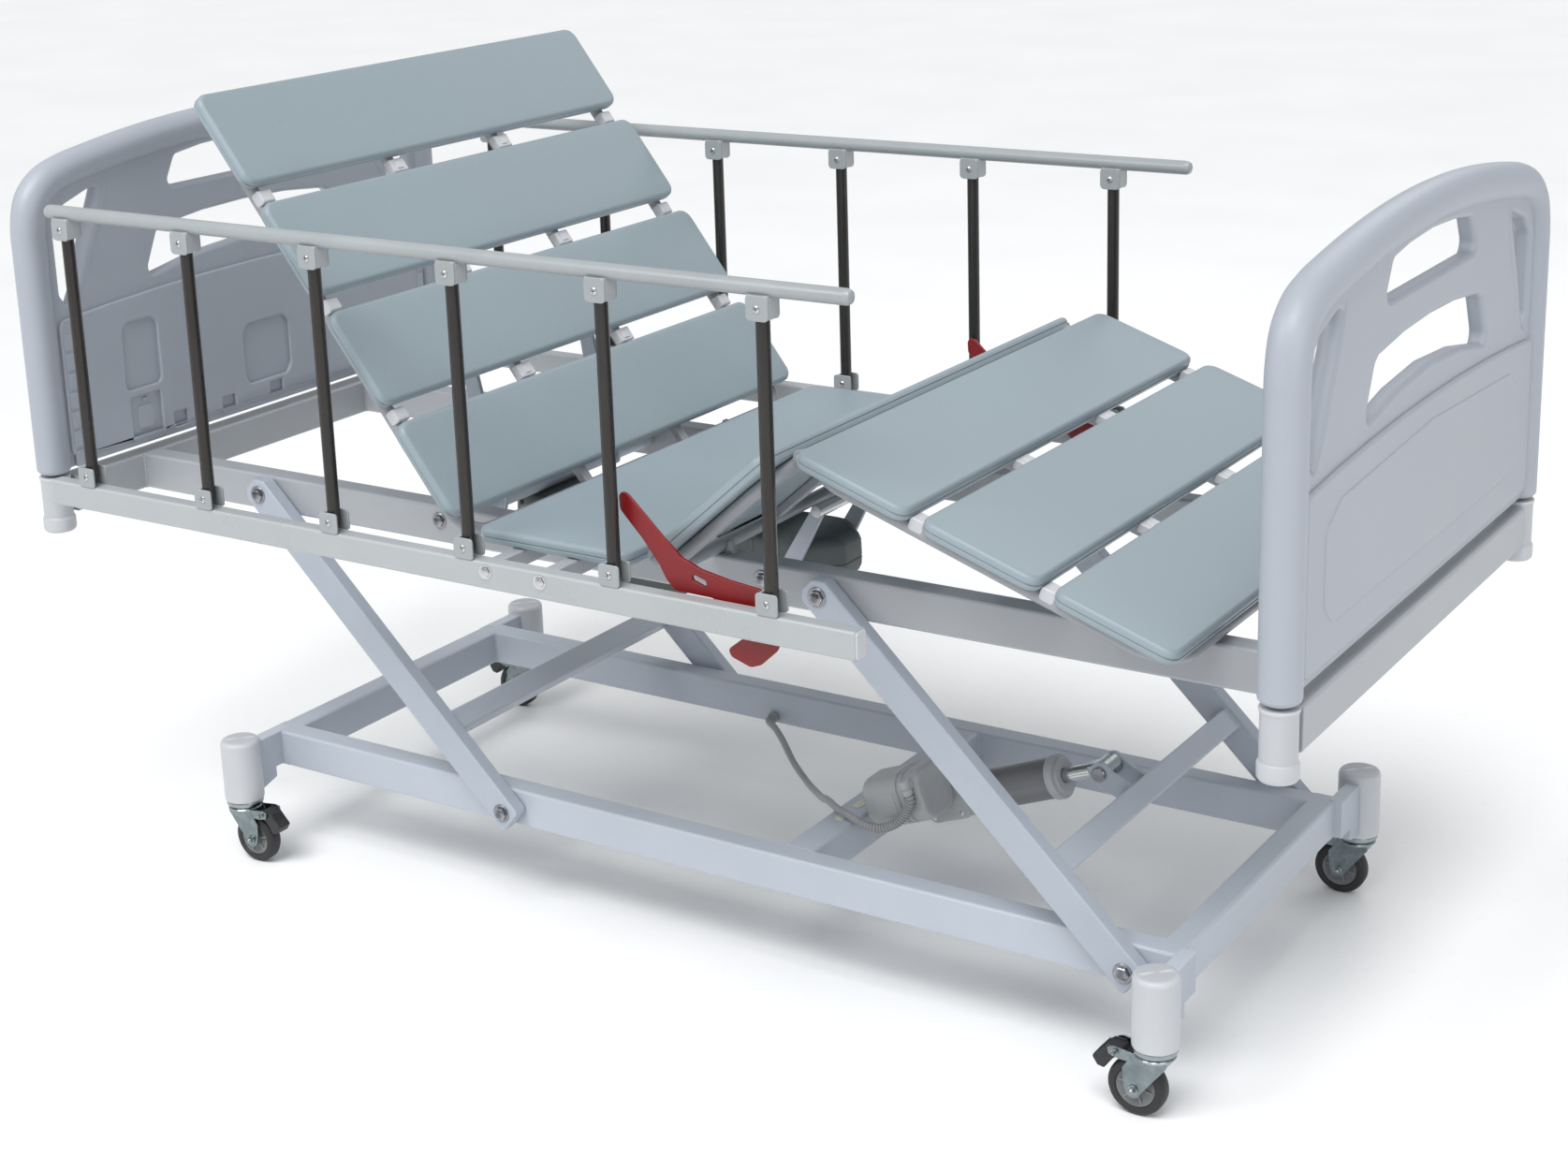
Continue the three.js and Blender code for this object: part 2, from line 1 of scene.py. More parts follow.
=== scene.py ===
import math
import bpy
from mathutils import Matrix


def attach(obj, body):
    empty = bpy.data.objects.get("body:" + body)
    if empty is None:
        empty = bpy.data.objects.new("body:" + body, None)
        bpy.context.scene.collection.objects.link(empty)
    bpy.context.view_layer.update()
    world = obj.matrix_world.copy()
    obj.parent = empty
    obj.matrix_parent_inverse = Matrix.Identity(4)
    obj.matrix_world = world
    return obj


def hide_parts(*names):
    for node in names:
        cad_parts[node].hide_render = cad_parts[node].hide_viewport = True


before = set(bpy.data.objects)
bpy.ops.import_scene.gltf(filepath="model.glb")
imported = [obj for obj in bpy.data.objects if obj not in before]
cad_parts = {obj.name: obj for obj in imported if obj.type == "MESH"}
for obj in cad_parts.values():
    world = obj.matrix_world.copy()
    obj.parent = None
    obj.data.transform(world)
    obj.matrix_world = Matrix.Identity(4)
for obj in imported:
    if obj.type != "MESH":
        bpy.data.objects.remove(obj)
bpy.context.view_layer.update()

from types import SimpleNamespace as Sizes
import bpy
import bmesh
from mathutils import Matrix, Vector, noise

MM = 0.001

# dimensions, in millimetres
BASE = Sizes(head=-770, foot=830, y=272, low=134, high=194)
POST = dict(head=-776, foot=852, y=374, r=32, low=105, high=209)
CASTOR = Sizes(r=41, half=12, trail=24)
ARM = Sizes(length=648, tilt=44.2, half=25, thick=25, inner=294, cross=162)
PIVOT = dict(head=-276, foot=779, z=163)
LIFT = Sizes(x=285, z=177, clevis=(-221.7, -23))
RAIL = Sizes(end=1045, y=272, tube=40, low=580, high=640)
BOARD = Sizes(x=1045, y=465, r=27, low=646, top=1165, shoulder=1138)
DECK = Sizes(tube=10, y=425, slat_y=455, slat=22, z=650.5)
BACK = Sizes(x=-219, tilt=52.7, length=752, first=30, slat=160, gap=32)
THIGH = Sizes(x=128, tilt=41, knee=290)
CALF = Sizes(tilt=19, length=575, first=15, slat=175, gap=22)
GUARD = Sizes(y=511.5, first=-900.7, pitch=253.6, posts=6, low=674, high=1070, tube=1094)
OUTRIGGERS = (-102, -6)
TORSION = Sizes(back=-385, z=612)
KNEE_LEVER = Sizes(x=112, z=552, length=114.4, angle=60.3)
LATCH = (335, 642)
BOTH = (-1, 1)


# camera and light
def look(azimuth, elevation, roll):
    az, el, ro = (math.radians(v) for v in (azimuth, elevation, roll))
    back = Vector((math.sin(az) * math.cos(el), -math.cos(az) * math.cos(el), math.sin(el)))
    right = (-back).cross(Vector((0, 0, 1))).normalized()
    up = right.cross(-back)
    r = math.cos(ro) * right + math.sin(ro) * up
    u = -math.sin(ro) * right + math.cos(ro) * up
    return Matrix((r, u, back)).transposed().to_4x4()


def into_scene(name, data):
    thing = bpy.data.objects.new(name, data)
    bpy.context.scene.collection.objects.link(thing)
    return thing


def make_camera():
    data = bpy.data.cameras.new("camera")
    data.sensor_width = 36
    data.lens = 56.82
    data.shift_y = -0.1005
    data.clip_start = 0.05
    cam = into_scene("camera", data)
    cam.matrix_world = Matrix.Translation((2.0436, -3.0434, 1.7498)) @ look(33.077, 15.282, -1.754)
    bpy.context.scene.camera = cam


def area(name, at, size, power, target=(0, 0, 0.6)):
    data = bpy.data.lights.new(name, "AREA")
    data.shape = "DISK"
    data.size = size
    data.energy = power
    light = into_scene(name, data)
    light.location = at
    light.rotation_euler = (Vector(target) - Vector(at)).to_track_quat("-Z", "Y").to_euler()


def put(node, **values):
    for socket, value in values.items():
        node.inputs[socket.replace("_", " ")].default_value = value


def studio_world():
    """Even white surroundings that light the object less than they show behind it."""
    world = bpy.data.worlds.new("studio")
    world.use_nodes = True
    nodes, links = world.node_tree.nodes, world.node_tree.links
    shown = nodes["Background"]
    put(shown, Color=(1, 1, 1, 1), Strength=1.0)
    lit = nodes.new("ShaderNodeBackground")
    put(lit, Color=(0.96, 0.98, 1.0, 1), Strength=0.52)
    path = nodes.new("ShaderNodeLightPath")
    mix = nodes.new("ShaderNodeMixShader")
    links.new(path.outputs["Is Camera Ray"], mix.inputs["Fac"])
    links.new(lit.outputs["Background"], mix.inputs[1])
    links.new(shown.outputs["Background"], mix.inputs[2])
    links.new(mix.outputs["Shader"], nodes["World Output"].inputs["Surface"])
    bpy.context.scene.world = world


def sun(direction, strength, angle):
    data = bpy.data.lights.new("sky_panel", "SUN")
    data.energy = strength
    data.angle = math.radians(angle)
    light = into_scene("sky_panel", data)
    light.rotation_euler = Vector(direction).to_track_quat("Z", "Y").to_euler()


make_camera()
studio_world()
sun((0.35, -1.8, 3.4), 1.9, 35)
area("key", (-1.2, -2.8, 3.4), 2.0, 45)
area("fill", (3.8, -1.8, 2.2), 2.2, 22)
area("rim", (0.5, 3.6, 3.6), 2.4, 20)
bpy.context.scene.view_settings.view_transform = "Standard"


# materials
def finish(name, color, rough, metal=0.0, mottle=0.05, mottle_scale=7.0, grain=0.0, grain_scale=900.0,
           stretch=(1, 1, 1), rough_vary=0.08, edge=0.0, edge_color=(0.9, 0.9, 0.9), painted_hollow_shade=0.0):
    """A material with mottled colour, uneven gloss, a fine surface grain, worn edges and painted shade that darkens
    its hollows.
    """
    mat = bpy.data.materials.new(name)
    mat.use_nodes = True
    nodes, links = mat.node_tree.nodes, mat.node_tree.links
    bsdf = nodes["Principled BSDF"]
    put(bsdf, Metallic=metal)
    coords = nodes.new("ShaderNodeTexCoord")
    mapping = nodes.new("ShaderNodeMapping")
    put(mapping, Scale=stretch)
    links.new(coords.outputs["Object"], mapping.inputs["Vector"])

    def noise_node(scale, detail):
        n = nodes.new("ShaderNodeTexNoise")
        put(n, Scale=scale, Detail=detail, Roughness=0.6)
        links.new(mapping.outputs["Vector"], n.inputs["Vector"])
        return n.outputs["Fac"]

    def mixed(fac, a, b):
        m = nodes.new("ShaderNodeMix")
        m.data_type = "RGBA"
        for socket, value in ((m.inputs[0], fac), (m.inputs[6], a), (m.inputs[7], b)):
            if isinstance(value, tuple):
                socket.default_value = (*value, 1)
            else:
                links.new(value, socket)
        return m.outputs[2]

    def ramp(value, low, high, to=(0.0, 1.0)):
        r = nodes.new("ShaderNodeMapRange")
        put(r, From_Min=low, From_Max=high, To_Min=to[0], To_Max=to[1])
        links.new(value, r.inputs["Value"])
        return r.outputs["Result"]

    low = tuple(c * (1 - mottle) for c in color)
    high = tuple(min(1.0, c * (1 + mottle)) for c in color)
    patch = noise_node(mottle_scale, 5)
    shade = mixed(ramp(patch, 0.3, 0.7), low, high)
    speck = noise_node(mottle_scale * 22, 3)
    shade = mixed(ramp(speck, 0.62, 0.8, (0.0, 0.35)), shade, tuple(c * 0.86 for c in color))
    geometry = nodes.new("ShaderNodeNewGeometry")
    if edge:
        worn = ramp(geometry.outputs["Pointiness"], 0.52, 0.6, (0.0, edge))
        shade = mixed(worn, shade, edge_color)
    # Painted shade: where pointiness is low (hollows, inner corners) the colour is darkened towards 0.45 of itself.
    if painted_hollow_shade:
        hollow = ramp(geometry.outputs["Pointiness"], 0.5, 0.42, (0.0, painted_hollow_shade))
        shade = mixed(hollow, shade, tuple(c * 0.45 for c in color))
    links.new(shade, bsdf.inputs["Base Color"])
    links.new(ramp(patch, 0.25, 0.75, (rough - rough_vary, rough + rough_vary)), bsdf.inputs["Roughness"])
    if grain:
        fine = noise_node(grain_scale, 2)
        bump = nodes.new("ShaderNodeBump")
        put(bump, Strength=grain, Distance=0.0006)
        links.new(fine, bump.inputs["Height"])
        links.new(bump.outputs["Normal"], bsdf.inputs["Normal"])
    return mat


MAT = dict(
    base=finish("base_coat", (0.39, 0.43, 0.49), 0.34, grain=0.12, grain_scale=420, edge=0.5,
            edge_color=(0.6, 0.64, 0.7), painted_hollow_shade=0.4),
    frame=finish("frame_coat", (0.29, 0.305, 0.325), 0.34, grain=0.12, grain_scale=420, edge=0.5,
            edge_color=(0.55, 0.57, 0.6), painted_hollow_shade=0.4),
    guard=finish("guard_coat", (0.31, 0.335, 0.345), 0.32, grain=0.1, grain_scale=420, edge=0.5,
            edge_color=(0.58, 0.6, 0.61), painted_hollow_shade=0.4),
    slat=finish("slat_plastic", (0.265, 0.325, 0.36), 0.42, mottle=0.04, mottle_scale=3, grain=0.25,
            grain_scale=1300, edge=0.4, edge_color=(0.36, 0.4, 0.43), painted_hollow_shade=0.3),
    board=finish("board_plastic", (0.37, 0.40, 0.45), 0.4, mottle=0.03, mottle_scale=3, grain=0.2, grain_scale=1100,
                 edge=0.35, edge_color=(0.5, 0.53, 0.57), painted_hollow_shade=0.4),
    white=finish("white_plastic", (0.47, 0.485, 0.51), 0.36, mottle=0.03, grain=0.15, edge=0.4,
            edge_color=(0.9, 0.9, 0.9), painted_hollow_shade=0.35),
    steel=finish("post_steel", (0.035, 0.032, 0.030), 0.26, 0.5, mottle=0.2, mottle_scale=14, stretch=(6, 6, 0.5),
            grain=0.3, grain_scale=260, edge=0.2, edge_color=(0.4, 0.38, 0.36)),
    bright=finish("bright_steel", (0.55, 0.56, 0.57), 0.22, 1.0, mottle=0.1, mottle_scale=40, edge=0.3,
            edge_color=(0.8, 0.8, 0.8), painted_hollow_shade=0.4),
    zinc=finish("zinc_plate", (0.22, 0.26, 0.27), 0.26, 1.0, mottle=0.22, mottle_scale=60, grain=0.2,
            grain_scale=500, edge=0.4, edge_color=(0.75, 0.8, 0.8), painted_hollow_shade=0.4),
    bolt=finish("bolt_steel", (0.13, 0.135, 0.15), 0.26, 1.0, mottle=0.15, mottle_scale=60, edge=0.5,
            edge_color=(0.8, 0.8, 0.82), painted_hollow_shade=0.5),
    black=finish("black_plastic", (0.018, 0.018, 0.02), 0.45, mottle=0.2, mottle_scale=30, grain=0.25, edge=0.15,
            edge_color=(0.12, 0.12, 0.12)),
    tyre=finish("tyre_rubber", (0.014, 0.014, 0.015), 0.55, mottle=0.25, mottle_scale=40, grain=0.4,
            grain_scale=700, edge=0.12, edge_color=(0.1, 0.1, 0.1)),
    hub=finish("hub_plastic", (0.16, 0.165, 0.17), 0.35, mottle=0.15, mottle_scale=40, grain=0.15, edge=0.3,
            edge_color=(0.4, 0.4, 0.4), painted_hollow_shade=0.4),
    red=finish("red_coat", (0.20, 0.004, 0.006), 0.36, mottle=0.15, mottle_scale=12, grain=0.15, grain_scale=420,
               edge=0.35, edge_color=(0.5, 0.05, 0.05), painted_hollow_shade=0.4),
    drive=finish("drive_plastic", (0.07, 0.085, 0.085), 0.42, mottle=0.15, mottle_scale=10, grain=0.3, edge=0.25,
            edge_color=(0.2, 0.22, 0.21)),
    motor=finish("motor_plastic", (0.38, 0.395, 0.405), 0.42, mottle=0.08, mottle_scale=12, grain=0.3, edge=0.35,
            edge_color=(0.6, 0.6, 0.6), painted_hollow_shade=0.4),
    sleeve=finish("sleeve_coat", (0.115, 0.115, 0.125), 0.36, 0.3, mottle=0.12, mottle_scale=12, grain=0.15,
            edge=0.3, edge_color=(0.35, 0.35, 0.37)),
    cable=finish("cable_rubber", (0.33, 0.33, 0.34), 0.5, mottle=0.08, mottle_scale=30, grain=0.3, edge=0.2,
            edge_color=(0.45, 0.45, 0.45), painted_hollow_shade=0.5),
    plug=finish("slot_plug", (0.62, 0.63, 0.5), 0.45, mottle=0.06, mottle_scale=30, grain=0.1),
    # Near-black colour set on screw cross recess marks and on the drive-case screws: painted shade of recesses.
    recess_shade=finish("painted_recess_shade", (0.02, 0.02, 0.022), 0.5, 0.4, mottle=0.2, mottle_scale=80),
)


# outlines
def rounded_rect(w, h, r, n=5):
    """A rectangle about the origin with rounded corners, anticlockwise."""
    r = min(r, w / 2, h / 2)
    points = []
    for cx, cy, start in ((1, 1, 0), (-1, 1, 90), (-1, -1, 180), (1, -1, 270)):
        for i in range(n + 1):
            t = math.radians(start + 90 * i / n)
            points.append((cx * (w / 2 - r) + r * math.cos(t), cy * (h / 2 - r) + r * math.sin(t)))
    return points


def rect_at(x, y, *size):
    return [(x + a, y + b) for a, b in rounded_rect(*size)]


def soften(points, r, n=5):
    """A closed outline with its corners rounded."""
    out = []
    count = len(points)
    for i in range(count):
        p = Vector(points[i])
        a = Vector(points[i - 1]) - p
        b = Vector(points[(i + 1) % count]) - p
        turn = math.pi - a.angle(b)
        if turn < 0.06:
            out.append(tuple(p))
            continue
        cut = min(r * math.tan(turn / 2), 0.46 * a.length, 0.46 * b.length)
        start, end = p + a.normalized() * cut, p + b.normalized() * cut
        for k in range(n + 1):
            t = k / n
            out.append(tuple((1 - t) ** 2 * start + 2 * t * (1 - t) * p + t * t * end))
    return out


def spline(points, per=8):
    """A smooth curve through points (centripetal Catmull-Rom), as a list of Vectors."""
    p = [Vector(v) for v in points]
    p = [2 * p[0] - p[1], *p, 2 * p[-1] - p[-2]]
    out = []
    for i in range(1, len(p) - 2):
        a, b, c, d = p[i - 1:i + 3]
        ta = 0.0
        tb = ta + max(1e-6, (b - a).length ** 0.5)
        tc = tb + max(1e-6, (c - b).length ** 0.5)
        td = tc + max(1e-6, (d - c).length ** 0.5)
        for k in range(per):
            t = tb + (tc - tb) * k / per
            q1 = a * ((tb - t) / (tb - ta)) + b * ((t - ta) / (tb - ta))
            q2 = b * ((tc - t) / (tc - tb)) + c * ((t - tb) / (tc - tb))
            q3 = c * ((td - t) / (td - tc)) + d * ((t - tc) / (td - tc))
            r1 = q1 * ((tc - t) / (tc - ta)) + q2 * ((t - ta) / (tc - ta))
            r2 = q2 * ((td - t) / (td - tb)) + q3 * ((t - tb) / (td - tb))
            out.append(r1 * ((tc - t) / (tc - tb)) + r2 * ((t - tb) / (tc - tb)))
    out.append(p[-2])
    return out


# pieces
PLANES = {
    "XY": Matrix.Identity(4),
    "XZ": Matrix(((1, 0, 0, 0), (0, 0, -1, 0), (0, 1, 0, 0), (0, 0, 0, 1))),
    "YZ": Matrix(((0, 0, 1, 0), (1, 0, 0, 0), (0, 1, 0, 0), (0, 0, 0, 1))),
}


class Piece:
    """A mesh built in millimetres from solids, and then placed in the row frame."""

    def __init__(self, place=None):
        self.bm = bmesh.new()
        self.place = place or Matrix.Identity(4)

    def loft(self, rings, closed=False, caps=True):
        rows = [[self.bm.verts.new(v) for v in ring] for ring in rings]
        n = len(rows[0])
        pairs = list(zip(rows, rows[1:])) + ([(rows[-1], rows[0])] if closed else [])
        for a, b in pairs:
            for i in range(n):
                j = (i + 1) % n
                self.bm.faces.new((a[i], a[j], b[j], b[i]))
        if caps and not closed:
            self.bm.faces.new(rows[0][::-1])
            self.bm.faces.new(rows[-1])

    def bar(self, start, end, w, h, r=4.5, up=(0, 0, 1), ease=1.2):
        """A rounded rectangular tube from start to end: w across, h along up."""
        start, end = Vector(start), Vector(end)
        along = (end - start).normalized()
        across = along.cross(Vector(up)).normalized()
        upward = across.cross(along)
        length = (end - start).length
        rings = []
        for s, inset in ((0, ease), (ease, 0), (length - ease, 0), (length, ease)):
            section = rounded_rect(w - 2 * inset, h - 2 * inset, r)
            rings.append([start + along * s + across * a + upward * b for a, b in section])
        self.loft(rings)

    def turned(self, axis, at, profile, n=32):
        """A solid of revolution from (radius, distance) pairs, about an axis through `at`."""
        at = Vector(at)
        index = "xyz".index(axis)
        u, v = [Vector([1.0 if k == m else 0.0 for k in range(3)]) for m in range(3) if m != index]
        w = Vector([1.0 if k == index else 0.0 for k in range(3)])
        rings = [[at + w * d + (u * math.cos(t) + v * math.sin(t)) * max(r, 0.02)
                  for t in (2 * math.pi * i / n for i in range(n))] for r, d in profile]
        self.loft(rings)

    def hollow(self, axis, at, profile, n=32):
        """A ring: the same, for a profile that closes on itself."""
        at = Vector(at)
        index = "xyz".index(axis)
        u, v = [Vector([1.0 if k == m else 0.0 for k in range(3)]) for m in range(3) if m != index]
        w = Vector([1.0 if k == index else 0.0 for k in range(3)])
        rings = [[at + w * d + (u * math.cos(t) + v * math.sin(t)) * r
                  for t in (2 * math.pi * i / n for i in range(n))] for r, d in profile]
        self.loft(rings, closed=True)

    def sweep(self, path, r, n=16, closed=False, ends=0.0, radii=None):
        """A round tube along a path. ends rounds its two ends over that length."""
        p = [Vector(v) for v in path]
        count = len(p)
        tangents = []
        for i in range(count):
            a = p[i - 1] if closed or i else p[i]
            b = p[(i + 1) % count] if closed or i < count - 1 else p[i]
            tangents.append((b - a).normalized())
        side = tangents[0].orthogonal().normalized()
        if abs(tangents[0].y) < 0.9:
            side = tangents[0].cross(Vector((0, 1, 0))).normalized()
        frames = []
        for t in tangents:
            side = (side - t * side.dot(t)).normalized()
            frames.append((side, t.cross(side)))
        size = radii or [r] * count
        rings = [[p[i] + (frames[i][0] * math.cos(a) + frames[i][1] * math.sin(a)) * size[i]
                  for a in (2 * math.pi * (k + 0.5) / n for k in range(n))] for i in range(count)]
        if ends and not closed:
            steps = (0.25, 0.55, 0.8, 0.95)
            def cap(i, t):
                out = []
                for q in steps:
                    shift = ends * q
                    scale = size[i] * math.sqrt(max(0.0, 1 - q * q))
                    out.append([p[i] + t * shift + (frames[i][0] * math.cos(a) + frames[i][1] * math.sin(a)) * scale
                                for a in (2 * math.pi * (k + 0.5) / n for k in range(n))])
                return out
            rings = cap(0, -tangents[0])[::-1] + rings + cap(count - 1, tangents[-1])
        self.loft(rings, closed=closed)

    def plate(self, outline, plane, span, bevel=1.0, holes=(), steps=2):
        """A flat plate: an outline with holes in a plane, between two distances across it, with eased edges."""
        low, high = span
        curve = bpy.data.curves.new("plate", "CURVE")
        curve.dimensions = "2D"
        curve.fill_mode = "BOTH"
        bevel = min(bevel, (high - low) / 2 - 0.01)
        curve.extrude = (high - low) / 2 - bevel
        curve.bevel_depth = bevel
        curve.bevel_resolution = steps
        curve.offset = -bevel
        for points in (outline, *holes):
            s = curve.splines.new("POLY")
            s.points.add(len(points) - 1)
            for q, (a, b) in zip(s.points, points):
                q.co = (a, b, 0, 1)
            s.use_cyclic_u = True
        holder = bpy.data.objects.new("plate", curve)
        bpy.context.scene.collection.objects.link(holder)
        mesh = bpy.data.meshes.new_from_object(holder)
        bpy.data.objects.remove(holder)
        bpy.data.curves.remove(curve)
        mid = (low + high) / 2
        shift = {"XY": (0, 0, mid), "XZ": (0, mid, 0), "YZ": (mid, 0, 0)}[plane]
        mesh.transform(Matrix.Translation(shift) @ PLANES[plane])
        part = bmesh.new()
        part.from_mesh(mesh)
        bmesh.ops.remove_doubles(part, verts=part.verts, dist=0.01)
        part.to_mesh(mesh)
        part.free()
        self.bm.from_mesh(mesh)
        bpy.data.meshes.remove(mesh)

    def slab(self, x, y, z, corner=18, edge=7, crown=0.8):
        """A moulded slat: rounded corners, a round edge with a parting groove, and a faint crown."""
        w, h = x[1] - x[0], y[1] - y[0]
        cx, cy = (x[0] + x[1]) / 2, (y[0] + y[1]) / 2
        low, high = z
        steps = [(edge, low), (0.45 * edge, low + 0.12 * edge), (0.12 * edge, low + 0.45 * edge), (0, low + edge)]
        mid = (low + high) / 2 - 1
        steps += [(0, mid - 1.4), (1.3, mid - 0.5), (1.3, mid + 0.5), (0, mid + 1.4)]
        steps += [(0, high - edge), (0.07 * edge, high - 0.62 * edge), (0.29 * edge, high - 0.29 * edge),
                (0.62 * edge, high - 0.07 * edge), (edge, high), (edge + 14, high + crown * 0.6),
                (edge + 40, high + crown)]
        steps[-1] = (min(edge + 40, min(w, h) / 2 - 8), high + crown)
        rings = []
        for inset, level in steps:
            ring = rounded_rect(w - 2 * inset, h - 2 * inset, max(corner - 0.55 * inset, 2), 6)
            rings.append([Vector((cx + a, cy + b, level)) for a, b in ring])
        self.loft(rings)

    def bead(self, start, end, r=2.6):
        """A weld bead: a lumpy ridge from start to end."""
        start, end = Vector(start), Vector(end)
        n = max(6, int((end - start).length / 3))
        path = [start.lerp(end, i / n) for i in range(n + 1)]
        radii = [r * (0.9 + 0.22 * math.sin(i * 2.1) + 0.12 * noise.noise(start * 0.05 + Vector((i, 0, 0)))) 
                for i in range(n + 1)]
        self.sweep(path, r, 8, radii=radii, ends=r)

    def bolt(self, axis, at, out, r=11, washer=14):
        """A washer, a hexagon and a domed end that face along `out` (1 or -1) of an axis."""
        self.turned(axis, at, [(washer - 0.6, 0), (washer, 0.5 * out), (washer, 1.6 * out),
                (washer - 0.8, 2.2 * out)], 32)
        self.turned(axis, at, [(r, 2 * out), (r, 5.4 * out), (r * 0.9, 6.2 * out)], 6)
        self.turned(axis, at, [(r * 0.78, 6 * out), (r * 0.74, 7.4 * out), (r * 0.5, 8.6 * out), (0, 9 * out)], 24)

    def screw(self, axis, at, out, r=5):
        """A pan-head screw with a plain domed head."""
        self.turned(axis, at, [(r, 0), (r, 0.9 * out), (r * 0.8, 1.8 * out), (r * 0.45, 2.3 * out), (0, 2.4 * out)],
                20)

    def done(self, name, body, material, slot, replaces=(), angle=32):
        bm = self.bm
        bmesh.ops.remove_doubles(bm, verts=bm.verts, dist=0.002)
        bmesh.ops.recalc_face_normals(bm, faces=bm.faces)
        mesh = bpy.data.meshes.new(name)
        bm.to_mesh(mesh)
        bm.free()
        mesh.transform(Matrix.Scale(MM, 4) @ self.place)
        if self.place.determinant() < 0:
            mesh.flip_normals()
        for face in mesh.polygons:
            face.use_smooth = True
        mesh.set_sharp_from_angle(angle=math.radians(angle))
        mesh.materials.append(MAT[material])
        piece = bpy.data.objects.new(name, mesh)
        bpy.context.scene.collection.objects.link(piece)
        even = piece.modifiers.new("even_normals", "WEIGHTED_NORMAL")
        even.keep_sharp = True
        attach(piece, body)
        if replaces:
            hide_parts(*replaces)
        return piece


def cross(piece, axis, at, out, size=3.0):
    """The cross recess of a screw head, drawn as two thin near-black bars just proud of the head: painted shade of
    the recess.
    """
    x, y, z = at
    if axis == "y":
        y += 2.3 * out
        piece.bar((x - size, y, z), (x + size, y, z), 0.5, 1.0, 0.2, ease=0.1)
        piece.bar((x, y, z - size), (x, y, z + size), 1.0, 0.5, 0.2, up=(0, 1, 0), ease=0.1)


def turned_at(x, z, tilt):
    return Matrix.Translation((x, 0, z)) @ Matrix.Rotation(math.radians(tilt), 4, "Y")


def side_y(s, a, b):
    return (-b, -a) if s < 0 else (a, b)


OUTER = RAIL.y + RAIL.tube / 2


# base frame
def base_frame():
    rails = Piece()
    z = (BASE.low + BASE.high) / 2
    tall = BASE.high - BASE.low
    for s in BOTH:
        rails.bar((BASE.head - 19, s * BASE.y, z), (BASE.foot + 19, s * BASE.y, z), 40, tall, 5)
    for x in (BASE.head, BASE.foot):
        rails.bar((x, -BASE.y - 19, z), (x, BASE.y + 19, z), 39.6, tall - 0.5, 5)
    rails.bar((230, -BASE.y + 18, z), (230, BASE.y - 18, z), 50, tall - 1, 5)
    for s in BOTH:
        lug = [(250, 153), (291, 159), (300, 169), (300, 185), (291, 193), (250, 193)]
        rails.plate(soften(lug, 6), "XZ", side_y(s, 21, 28), 1)
        for x in (POST["head"], POST["foot"]):
            web = [(BASE.y, 195), (POST["y"] - 20, 195), (POST["y"] - 20, 110), (POST["y"] - 36, 110), (308, 119),
                    (308, 136), (BASE.y, 136)]
            rails.plate([(s * a, b) for a, b in web][::s], "YZ", (x - 12, x + 12), 3)
    rails.done("base_rails", "base", "base", "base_paint", ("base_frame",))

    welds = Piece()
    inner = BASE.y - 20
    for s in BOTH:
        for x, d in ((BASE.head, 1), (BASE.foot, -1), (205, -1), (255, 1)):
            face = x + 20 * d if abs(x) > 300 else x
            welds.bead((face, s * inner, BASE.low + 3), (face, s * inner, BASE.high - 3), 2.4)
        for x in (POST["head"], POST["foot"]):
            for d in BOTH:
                welds.bead((x + 12 * d, s * (POST["y"] - 28), 118), (x + 12 * d, s * (POST["y"] - 28), 190), 2.2)
            welds.bead((x - 10, s * (BASE.y + 20), 190), (x + 10, s * (BASE.y + 20), 190), 2.4)
        for y in (21, 28):
            welds.bead((256, s * y, 156), (256, s * y, 190), 1.8)
    welds.done("base_welds", "base", "base", "base_paint")

    posts = Piece()
    r = POST["r"]
    for s in BOTH:
        for x in (POST["head"], POST["foot"]):
            low, high = POST["low"], POST["high"]
            profile = [(r - 3, low), (r - 0.6, low + 0.8), (r, low + 3), (r, high - 9), (r - 0.8, high - 5),
                    (r - 3, high - 2), (r - 7, high - 0.4), (r - 14, high), (0, high + 0.4)]
            posts.turned("z", (x, s * POST["y"], 0), profile, 56)
    posts.done("base_posts", "base", "white", "white_plastic")

    bolts = Piece()
    for s in BOTH:
        for x in (PIVOT["head"], PIVOT["foot"]):
            end = ARM.inner + ARM.thick
            bolts.turned("y", (x, 0, PIVOT["z"]), [(7, s * (OUTER - 4)), (7, s * (end + 1))], 24)
            bolts.bolt("y", (x, s * end, PIVOT["z"]), s, 11, 14.5)
            bolts.turned("y", (x, 0, PIVOT["z"]), [(15, s * (OUTER + 0.2)), (15, s * (OUTER + 1.7))], 28)
    bolts.done("base_pivot_bolts", "base", "bolt", "post_steel")

    plugs = Piece()
    for y in (-128, -78):
        plugs.plate(rect_at(230, y, 15, 34, 7.5, 6), "XY", (193, 194.6), 0.5)
    plugs.done("base_slot_plugs", "base", "plug", "white_plastic")

    gland = Piece()
    gland.turned("y", (-139, 0, 147), [(8, 253), (8, 247), (10, 246.5), (10, 243), (7.6, 242.5), (6.6, 238)], 24)
    gland.done("base_cable_gland", "base", "cable", "cable_rubber")


